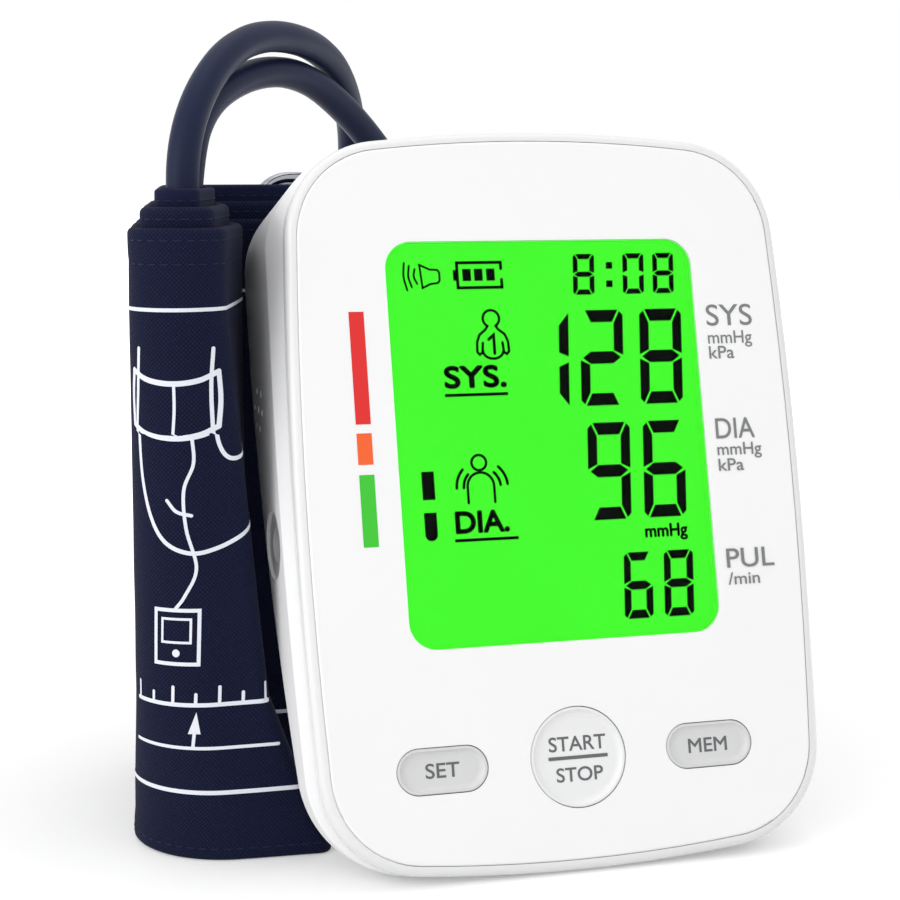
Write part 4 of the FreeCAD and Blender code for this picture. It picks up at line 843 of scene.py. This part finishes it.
@dataclass(frozen=True)
class RollPlan:
    """The plan of the flattened roll: a narrow nose beside the monitor and a lobe behind its back.

    The outline is a belt round circles, anticlockwise, each an x, a y and a radius, which is negative for a
    hollow corner. The inset is how far it lies inside the roll's face. The foot spreads behind the housing.
    From the third level up the roll is straight.
    """

    inset: float = 0.0
    left: float = -83.8
    right: float = -57.2
    front: float = 27.0
    spread: float = 13.2
    levels: tuple[float, ...] = (0.0, 34.0, 110.0, 140.0)
    nose_rounds: tuple[float, ...] = (20.0, 14.0, 10.0, 10.0)
    folds: tuple[Point, ...] = ((1.5, 26.0), (1.0, 27.2))
    fold_round: float = 3.0
    neck: Spot = (12.0, 60.0, 12.0)
    hollow: float = 3.0
    lobe_right: float = -28.0
    lobe_front: float = 83.43
    lobe_round: float = 4.0
    rear: Spot = (-36.0, 101.53, 8.0)
    heel: Spot = (-60.5, 95.53, 14.0)
    least_round: float = 0.8
    spacing: float = 1.3

    def circles(self, level: int) -> list[Spot]:
        """Plans the circles of an outline.

        Args:
            level: the number of its level.

        Returns:
            The rounds of the nose, its fold, the neck, the hollow, the lobe, the rear and the heel.
        """
        inset, wide = self.inset, self.nose_rounds[level]
        right = self.right + (0.0 if level else self.spread)
        x, y, nose = self.left + wide, self.front + wide, wide - inset
        if level < len(self.folds):
            (side, low), fold = self.folds[level], max(self.fold_round - inset, self.least_round)
            corner = (right - side - inset - fold, low + inset + fold, fold)
        else:
            aside = (nose * 0.4 + 0.4) * 0.7
            corner = (x + aside, y - aside, nose * 0.6)
        lobe = max(self.lobe_round - inset, self.least_round)
        return [(x, y, nose), corner, (right - self.neck[0], self.neck[1], self.neck[2] - inset),
                (right + self.hollow, self.lobe_front - self.hollow, -self.hollow - inset),
                (self.lobe_right - inset - lobe, self.lobe_front + inset + lobe, lobe),
                *((cx, cy, r - inset) for cx, cy, r in (self.rear, self.heel))]

    @lru_cache(maxsize=None)
    def level_rail(self, level: int) -> Rail:
        """Lays the outline at one of the levels, with as many spots for every inset and level.

        Args:
            level: the number of the level.

        Returns:
            The outline.
        """
        rounds = self.circles(level)
        turns = [self._normal(a, b) for a, b in pairwise([*rounds, rounds[0]])]
        spots = []
        for k, ((x, y, r), (bends, steps)) in enumerate(zip(rounds, self._counts())):
            first, last = turns[k - 1], turns[k]
            while r > 0 and last < first:
                last += 2 * pi
            while r < 0 and last > first:
                last -= 2 * pi
            for angle in (first + (last - first) * j / bends for j in range(bends + 1)):
                spots.append((x + r * cos(angle), y + r * sin(angle), cos(angle), sin(angle)))
            x, y, r = rounds[(k + 1) % len(rounds)]
            way = (cos(last), sin(last))
            start, end = spots[-1], (x + r * way[0], y + r * way[1])
            spots += [(*between(start, end, j / steps), *way) for j in range(1, steps)]
        return Rail(tuple(spots))

    @lru_cache(maxsize=None)
    def rail(self, high: float) -> Rail:
        """Lays the outline at a height, between those of the levels below and above it.

        Args:
            high: the height.

        Returns:
            The outline.
        """
        level = min(sum(high >= edge for edge in self.levels[1:]), len(self.levels) - 2)
        foot, top = self.levels[level:level + 2]
        pairs = zip(self.level_rail(level).spots, self.level_rail(level + 1).spots)
        return Rail(tuple(between(*pair, (high - foot) / (top - foot)) for pair in pairs))

    def _counts(self) -> list[tuple[int, int]]:
        """Returns how many steps each round and the run after it have."""
        rounds = RollPlan().circles(0)
        return [(max(6, round(abs(a[2]) * 2.0 / self.spacing)),
                 max(2, round(dist(a[:2], b[:2]) / self.spacing)))
                for a, b in pairwise([*rounds, rounds[0]])]

    @staticmethod
    def _normal(a: Spot, b: Spot) -> float:
        """Returns the angle of the outward normal of the run from one round to the next."""
        return atan2(b[1] - a[1], b[0] - a[0]) - acos((a[2] - b[2]) / dist(a[:2], b[:2]))


@dataclass
class ClothBand:
    """An upright band of cloth with rounded hems, between rails that are given for each height.

    The relief is how far its outer face stands out. The rows are those of the outer face, the inner face and
    each hem.
    """

    name: str
    outer: Callable[[float], Rail]
    inner: Callable[[float], Rail]
    low: float
    high: float
    relief: Relief
    closed: bool = True
    rows: int = 70
    inner_rows: int = 24
    hem_rows: int = 8

    def section(self) -> list[Point]:
        """Rounds the band's cross-section.

        Returns:
            The share across the thickness, and the height, of each of its rows.
        """
        half = dist(self.outer(self.low).spots[0][:2], self.inner(self.low).spots[0][:2]) / 2
        foot, top = self.low + half, self.high - half
        tall = top - foot
        turns = [pi * k / self.hem_rows for k in range(1, self.hem_rows)]
        return [*((0.0, foot + tall * k / self.rows) for k in range(self.rows + 1)),
                *(((1 - cos(turn)) / 2, top + half * sin(turn)) for turn in turns),
                *((1.0, top - tall * k / self.inner_rows) for k in range(self.inner_rows + 1)),
                *(((1 + cos(turn)) / 2, foot - half * sin(turn)) for turn in turns)]

    def sew(self, finish: Finish, node: str) -> Thing:
        """Makes the band with a flat cloth map in metres, and puts it in its node's place.

        Args:
            finish: the cloth.
            node: the solid that it stands for.

        Returns:
            The piece.
        """
        rows = [(share, high, self.outer(high), self.inner(high)) for share, high in self.section()]
        columns, tall, points = len(rows[0][2].spots), len(rows), []
        for k in range(columns):
            for share, high, outer, inner in rows:
                x, y, nx, ny = outer.spots[k]
                out = self.relief(x, y, high) * (1 - share)
                x, y = between((x, y), inner.spots[k], share)
                points.append(TABLE.place(x + nx * out, y + ny * out, high))
        faces = [((k, j), (k + 1, j), (k + 1, j + 1), (k, j + 1))
                 for k in range(columns if self.closed else columns - 1) for j in range(tall)]
        if not self.closed:
            faces += [[(0, j) for j in range(tall)], [(columns - 1, j) for j in reversed(range(tall))]]
        piece = mesh_object(self.name, points,
                            [[k % columns * tall + j % tall for k, j in face] for face in faces])
        layer = piece.data.uv_layers.new(name="cloth")
        for spot, (k, j) in zip(layer.data, chain.from_iterable(faces)):
            _, high, outer, _ = rows[j % tall]
            spot.uv = outer.lengths[min(k, columns - 1)] * MM, high * MM
        finish.put_on(piece)
        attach(piece, "cuff")
        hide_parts(node)
        log.info("sewed %s", self.name)
        return piece


@dataclass
class Cuff:
    """The rolled cuff: three nested wraps with hems and stitches, the print, and the loop of the ring.

    A wrap is its node's name, how far inside the roll's face it lies, its thickness and its height.
    """

    hem: float = 5.6
    hem_swell: float = 0.16
    press: float = 0.42
    press_wide: float = 0.55
    waviness: float = 0.28
    stitch: float = 2.6
    stitch_rows: tuple[float, float] = (2.4, 7.0)
    print_lift: float = 0.06
    print_line: float = 0.86
    loop_foot: float = 10.0
    loop_top: float = 127.0
    wraps: tuple[tuple[str, float, float, float], ...] = (
        ("cuff_outer_wrap", 0.0, 2.3, 128.0),
        ("cuff_second_wrap", 2.6, 2.6, 132.0),
        ("cuff_inner_wrap", 5.5, 1.5, 135.5),
    )

    def build(self) -> None:
        """Sews and prints the cuff."""
        self.sew_wraps()
        self.sew_stitches()
        self.print_marks()
        self.sew_ring_loop()

    def relief(self, wrap: int) -> Relief:
        """Plans how far a wrap's outer face stands out: soft waves, and lines pressed in at the hems.

        Args:
            wrap: the wrap's number.

        Returns:
            A function of the place on the plan and the height.
        """
        high, seed = self.wraps[wrap][3], wrap * 3.7

        def out(x: float, y: float, up: float) -> float:
            """Finds how far the cloth stands out.

            Args:
                x: the place across.
                y: the place in depth.
                up: the height above the table.

            Returns:
                How far it stands out there.
            """
            wave = noise.noise(Vector((x / 24, y / 24, up / 34 + seed))) - 0.35
            fine = noise.noise(Vector((x / 7, y / 7, up / 9 + seed + 9))) * 0.25
            press = sum(exp(-((up - line) / self.press_wide) ** 2) for line in (self.hem, high - self.hem))
            swell = 0.0 if self.hem <= up <= high - self.hem else self.hem_swell
            return (wave + fine) * self.waviness - press * self.press + swell
        return out

    def sew_wraps(self) -> None:
        """Makes the three wraps."""
        for k, (name, inset, thick, high) in enumerate(self.wraps):
            band = ClothBand(name.replace("_wrap", "_cloth"), RollPlan(inset).rail,
                             RollPlan(inset + thick).rail, 0.0, high, self.relief(k))
            piece = band.sew(CLOTH if k < 2 else LINING, name)

    def sew_stitches(self) -> None:
        """Sews the rows of stitches along the hems, each stitch a short raised bead of thread."""
        points, faces = [], []
        for k, (_, inset, _, high) in enumerate(self.wraps):
            heights = [high - row for row in self.stitch_rows]
            for height in heights if k else (self.stitch, *heights):
                rail = RollPlan(inset).rail(height)
                at = self.stitch
                while at < rail.lengths[-1] - self.stitch:
                    self._bead(points, faces, rail, at, height, self.relief(k))
                    at += self.stitch
        piece = mesh_object("hem_stitches", points, faces)
        THREAD.put_on(piece)
        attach(piece, "cuff")
        log.info("sewed hem_stitches")

    def _bead(self, points: list[Vector], faces: list[tuple[int, ...]], rail: Rail, at: float, height: float,
              relief: Relief) -> None:
        """Adds one stitch.

        Args:
            points: takes its points.
            faces: takes its faces.
            rail: the line of its row.
            at: the length along the rail of its middle.
            height: the height of its row.
            relief: how far the cloth stands out.
        """
        first, sides, rings = len(points), 6, 5
        for share in (k / (rings - 1) for k in range(rings)):
            x, y, nx, ny = rail.at(at + (share - 0.5) * self.stitch * 0.68)
            thick = 0.2 * sin(pi * (0.12 + 0.76 * share))
            out = relief(x, y, height) + 0.02
            for angle in (2 * pi * j / sides for j in range(sides)):
                off = out + thick * cos(angle) * 0.7
                points.append(TABLE.place(x + nx * off, y + ny * off, height + thick * sin(angle)))
        last = len(points) - sides
        for a in range(first, last, sides):
            faces += [(a + j, a + (j + 1) % sides, a + (j + 1) % sides + sides, a + j + sides)
                      for j in range(sides)]
        faces += [tuple(reversed(range(first, first + sides))), tuple(range(last, last + sides))]

    def print_marks(self) -> None:
        """Prints the two border lines and the drawing of an arm with its cuff on the outer wrap."""
        relief = self.relief(0)

        def place(x: float, y: float, lift: float) -> Vector:
            """Finds a place on the cloth.

            Args:
                x: the length from the nose's left side.
                y: the height above the table.
                lift: how far the place is off the cloth.

            Returns:
                The place.
            """
            rail = RollPlan().rail(round(y * 4) / 4)
            px, py, nx, ny = rail.at((self.nose_length(rail) + x) % rail.lengths[-1])
            off = relief(px, py, y) + lift
            return TABLE.place(px + nx * off, py + ny * off, y)

        art = Artwork("cuff_border_lines", CUFF_INK, step=0.8)
        for low, wide in ((112.2, 0.75), (14.6, 0.9)):
            art.stroke([(-60.0, low), (150.0, low)], wide)
        art.lay(place, self.print_lift, "cuff", "navy_cloth")
        art = Artwork("cuff_arm_drawing", CUFF_INK, step=0.5)
        self.draw_arm(art)
        self.draw_ruler(art)
        art.lay(place, self.print_lift, "cuff", "navy_cloth")

    @staticmethod
    def nose_length(rail: Rail) -> float:
        """Returns the length along the rail of the roll's leftmost spot beside the nose."""
        return min((spot[0], length) for spot, length in zip(rail.spots, rail.lengths) if spot[1] < 48)[1]

    def draw_arm(self, art: Artwork) -> None:
        """Draws a bent arm with a cuff round its upper part, the cuff's hose and its monitor.

        Args:
            art: the print that it is drawn on.
        """
        curves = [
            (1.0, [(5.2, 104.5), (5.0, 97.0), (4.6, 88.0), (5.4, 79.0), (7.6, 71.5), (11.2, 66.2),
                   (16.6, 64.0), (22.4, 65.0), (28.2, 67.8), (32.6, 70.4)]),
            (1.0, [(21.4, 104.5), (21.0, 98.0), (21.2, 91.5), (21.8, 86.2), (23.8, 83.0), (27.2, 82.8),
                   (31.6, 84.6)]),
            (0.8, [(11.6, 74.6), (13.6, 72.4), (16.6, 71.6)]),
            *((1.25, [(3.6, high), (7.6, high - 1.7), (13.0, high - 2.4), (18.4, high - 1.8),
                      (22.6, high - 0.2)]) for high in (100.2, 89.4)),
            (1.25, [(3.6, 100.2), (3.2, 95.0), (3.6, 89.4)]),
            (1.25, [(22.6, 100.0), (23.0, 94.8), (22.6, 89.2)]),
            (0.7, [(13.4, 97.8), (13.6, 92.6), (13.4, 87.2)]),
            (0.8, [(16.4, 87.4), (16.8, 82.0), (15.0, 76.6), (15.6, 69.0), (17.8, 61.0), (15.6, 55.4),
                   (13.6, 52.6)]),
        ]
        for weight, points in curves:
            art.curve(points, self.print_line * weight)
        for weight, left, right, low, high in ((0.9, 9.2, 18.6, 41.4, 52.4), (0.6, 10.8, 16.9, 45.8, 50.6)):
            art.stroke([(left, high), (right, high), (right, low), (left, low)], self.print_line * weight,
                       closed=True)
        art.dot((13.9, 43.6), 0.8)

    def draw_ruler(self, art: Artwork) -> None:
        """Draws a ruler of arm sizes, and an arrow that points at it.

        Args:
            art: the print that it is drawn on.
        """
        thin = self.print_line * 0.8
        art.stroke([(3.2, 33.0), (33.2, 33.0)], self.print_line)
        for k in range(7):
            art.stroke([(3.8 + 4.8 * k, 33.0), (3.8 + 4.8 * k, 35.2 if k % 2 else 36.6)], thin)
        art.stroke([(3.2, 24.0), (36.0, 24.0)], thin)
        art.fill([(18.6, 31.6), (17.3, 27.0), (19.9, 27.0)])
        art.stroke([(18.6, 27.2), (18.6, 24.2)], thin)

    def sew_ring_loop(self) -> None:
        """Sews the loop of webbing that holds the ring's straight leg to the back of the roll."""
        x, y, radius, cloth, rear, step = -44.3, 112.281, 2.13, 1.1, 109.531, 1.2
        line = [*((x - 15.0 + k * step, rear + cloth / 2) for k in range(11)),
                *arc(x, y, radius, 232, -68, 30),
                *((x - 3.4 - k * step, rear + cloth * 1.55) for k in range(9))]
        ways = [(Vector(after) - Vector(before)).normalized()
                for before, after in zip([line[0], *line], [*line[1:], line[-1]])]
        outer, inner = (Rail(tuple((px - way.y * out, py + way.x * out, -way.y, way.x)
                                   for (px, py), way in zip(line, ways))) for out in (cloth / 2, -cloth / 2))
        band = ClothBand("ring_webbing", lambda _: outer, lambda _: inner, self.loop_foot, self.loop_top,
                         lambda _x, _y, _up: 0.0, closed=False, rows=40)
        band.sew(LINING, "ring_loop")


@dataclass
class AirHose:
    """The soft hose from the cuff's port to its plug, over the roll and round behind the monitor."""

    wide: float = 7.0
    long: float = 618.6
    route: tuple[Spot, ...] = (
        (-69.3, 57.0, 92.0), (-69.3, 57.0, 120.0), (-69.7, 60.5, 148.1), (-53.7, 79.9, 168.9),
        (-28.1, 107.5, 168.4), (-15.3, 131.1, 151.5), (-15.1, 143.3, 122.7), (-22.6, 145.6, 87.6),
        (-27.9, 142.9, 52.5), (-23.0, 141.0, 22.4), (-4.2, 142.4, 3.7), (22.3, 142.4, 3.7),
        (41.0, 141.0, 22.4), (46.5, 139.1, 47.0), (39.0, 137.3, 72.1), (22.5, 135.2, 97.5),
        (3.0, 130.1, 124.2), (-16.2, 119.3, 149.6), (-37.5, 102.0, 163.5), (-61.1, 79.1, 155.9),
        (-68.3, 66.4, 137.6), (-68.3, 66.4, 114.1),
    )

    def build(self) -> None:
        curve = bpy.data.curves.new("air_hose_tube", "CURVE")
        curve.dimensions = "3D"
        curve.resolution_u = 14
        curve.bevel_depth = self.wide / 2 * MM
        curve.bevel_resolution = 7
        curve.use_fill_caps = True
        line = curve.splines.new("NURBS")
        line.points.add(len(self.route) - 1)
        for point, spot in zip(line.points, self.route):
            point.co = (*TABLE.place(*spot), 1.0)
        line.order_u = 3
        line.use_endpoint_u = True
        hose = put("air_hose_tube", curve)
        HOSE_PVC.put_on(hose)
        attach(hose, "cuff")
        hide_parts("air_hose")
        plug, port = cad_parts["air_plug"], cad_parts["hose_port"]
        PLUG_PLASTIC.put_on(plug)
        PORT_RUBBER.put_on(port)
        tuple(TABLE.place(*self.route[0]))
        log.info("laid air_hose_tube")


class DRing:
    """The chromed wire ring at the cuff's end."""

    def build(self) -> None:
        """Gives the ring its plating."""
        dress({CHROME: "d_ring"})


# --- Stage ---

def aim(item: Thing, at: Vector, way: Vector) -> None:
    """Puts a camera or a lamp at a place and turns it to look a way, its top up."""
    item.matrix_world = Matrix.LocRotScale(at, way.to_track_quat("-Z", "Y"), None)


@dataclass
class Studio:
    """A pale floor, a white surround, soft lamps and the camera. Lamps and floor are in metres."""

    camera_at: Spot = (-118.18, -418.11, 140.865)
    turn: float = 16.02
    tilt: float = 8.22
    lens: float = 80.0
    surround: float = 0.88
    reach: float = 6.0
    lamps: tuple[tuple[str, Spot, float, float], ...] = (
        ("key_lamp", (-0.9, -0.7, 0.9), 0.9, 2.4),
        ("side_lamp", (-1.2, -0.35, 0.45), 0.8, 3.6),
        ("top_lamp", (0.1, 0.1, 1.3), 1.0, 2.0),
    )

    def build(self) -> None:
        """Sets the whole stage."""
        bpy.context.scene.view_settings.view_transform = "Standard"
        self.set_camera()
        self.set_surround()
        self.set_floor()
        self.set_lamps()
        log.info("set the stage")

    def set_camera(self) -> None:
        """Places the camera without roll or shift."""
        data = bpy.data.cameras.new("studio_camera")
        data.lens = self.lens
        data.clip_start = 0.01
        camera = put("studio_camera", data)
        turn, tilt = radians(self.turn), radians(self.tilt)
        aim(camera, Vector(self.camera_at) * MM,
            Vector((sin(turn) * cos(tilt), cos(turn) * cos(tilt), -sin(tilt))))
        bpy.context.scene.camera = camera

    @staticmethod
    def seen(tree: Tree) -> Socket:
        """Returns 1 for rays that show a thing: straight from the camera, mirrored or through glass."""
        camera, glossy, through = (add(tree, "LightPath", f"Is {kind} Ray")
                                   for kind in ("Camera", "Glossy", "Transmission"))
        return maths(tree, "MAXIMUM", maths(tree, "MAXIMUM", camera, glossy), through)

    def set_surround(self) -> None:
        """Lights the scene evenly from a white surround."""
        world = bpy.data.worlds.new("surround")
        bpy.context.scene.world = world
        world.use_nodes = True
        tree = world.node_tree
        wire(tree.nodes["Background"],
             {"Color": WHITE, "Strength": ranged(tree, self.seen(tree), self.surround, 1.0)})

    def set_floor(self) -> None:
        """Lays a pale floor with a painted glow, seen straight, mirrored or through glass: weak near the
        monitor, so that its shadows show, and full far off, so that it is white there.
        """
        corners = ((-1, -1, 0), (1, -1, 0), (1, 1, 0), (-1, 1, 0))
        floor = mesh_object("floor", [Vector(corner) * self.reach for corner in corners], [(0, 1, 2, 3)])
        made = bpy.data.materials.new("floor_white")
        made.use_nodes = True
        tree = made.node_tree
        away = add(tree, "VectorMath", "Value", {"operation": "LENGTH", 0: add(tree, "TexCoord", "Object")})
        # Painted light: the floor's glow grows from a quarter near the monitor to full far off
        painted_floor_glow = add(tree, "MapRange", "Result", {"Value": away, "From Min": 0.12, "From Max": 0.55,
                                                "To Min": 0.25, "To Max": 1.0})
        wire(tree.nodes["Principled BSDF"],
             {"Base Color": linear("#E8E8E8"), "Roughness": 0.9, "Emission Color": WHITE,
              "Emission Strength": maths(tree, "MULTIPLY", self.seen(tree), painted_floor_glow)})
        floor.data.materials.append(made)

    def set_lamps(self) -> None:
        """Hangs the square lamps, facing the monitor."""
        for name, at, wide, power in self.lamps:
            data = bpy.data.lights.new(name, "AREA")
            data.size = wide
            data.energy = power
            aim(put(name, data), Vector(at), Vector((0, 0, 0.07)) - Vector(at))


def main() -> None:
    """Builds and dresses every piece in order."""
    logging.basicConfig(level=logging.INFO, format="%(message)s")
    for kind in (Studio, AirHose, MonitorShell, Display, Innards, Cuff, DRing):
        kind().build()


if __name__ == "__main__":
    main()
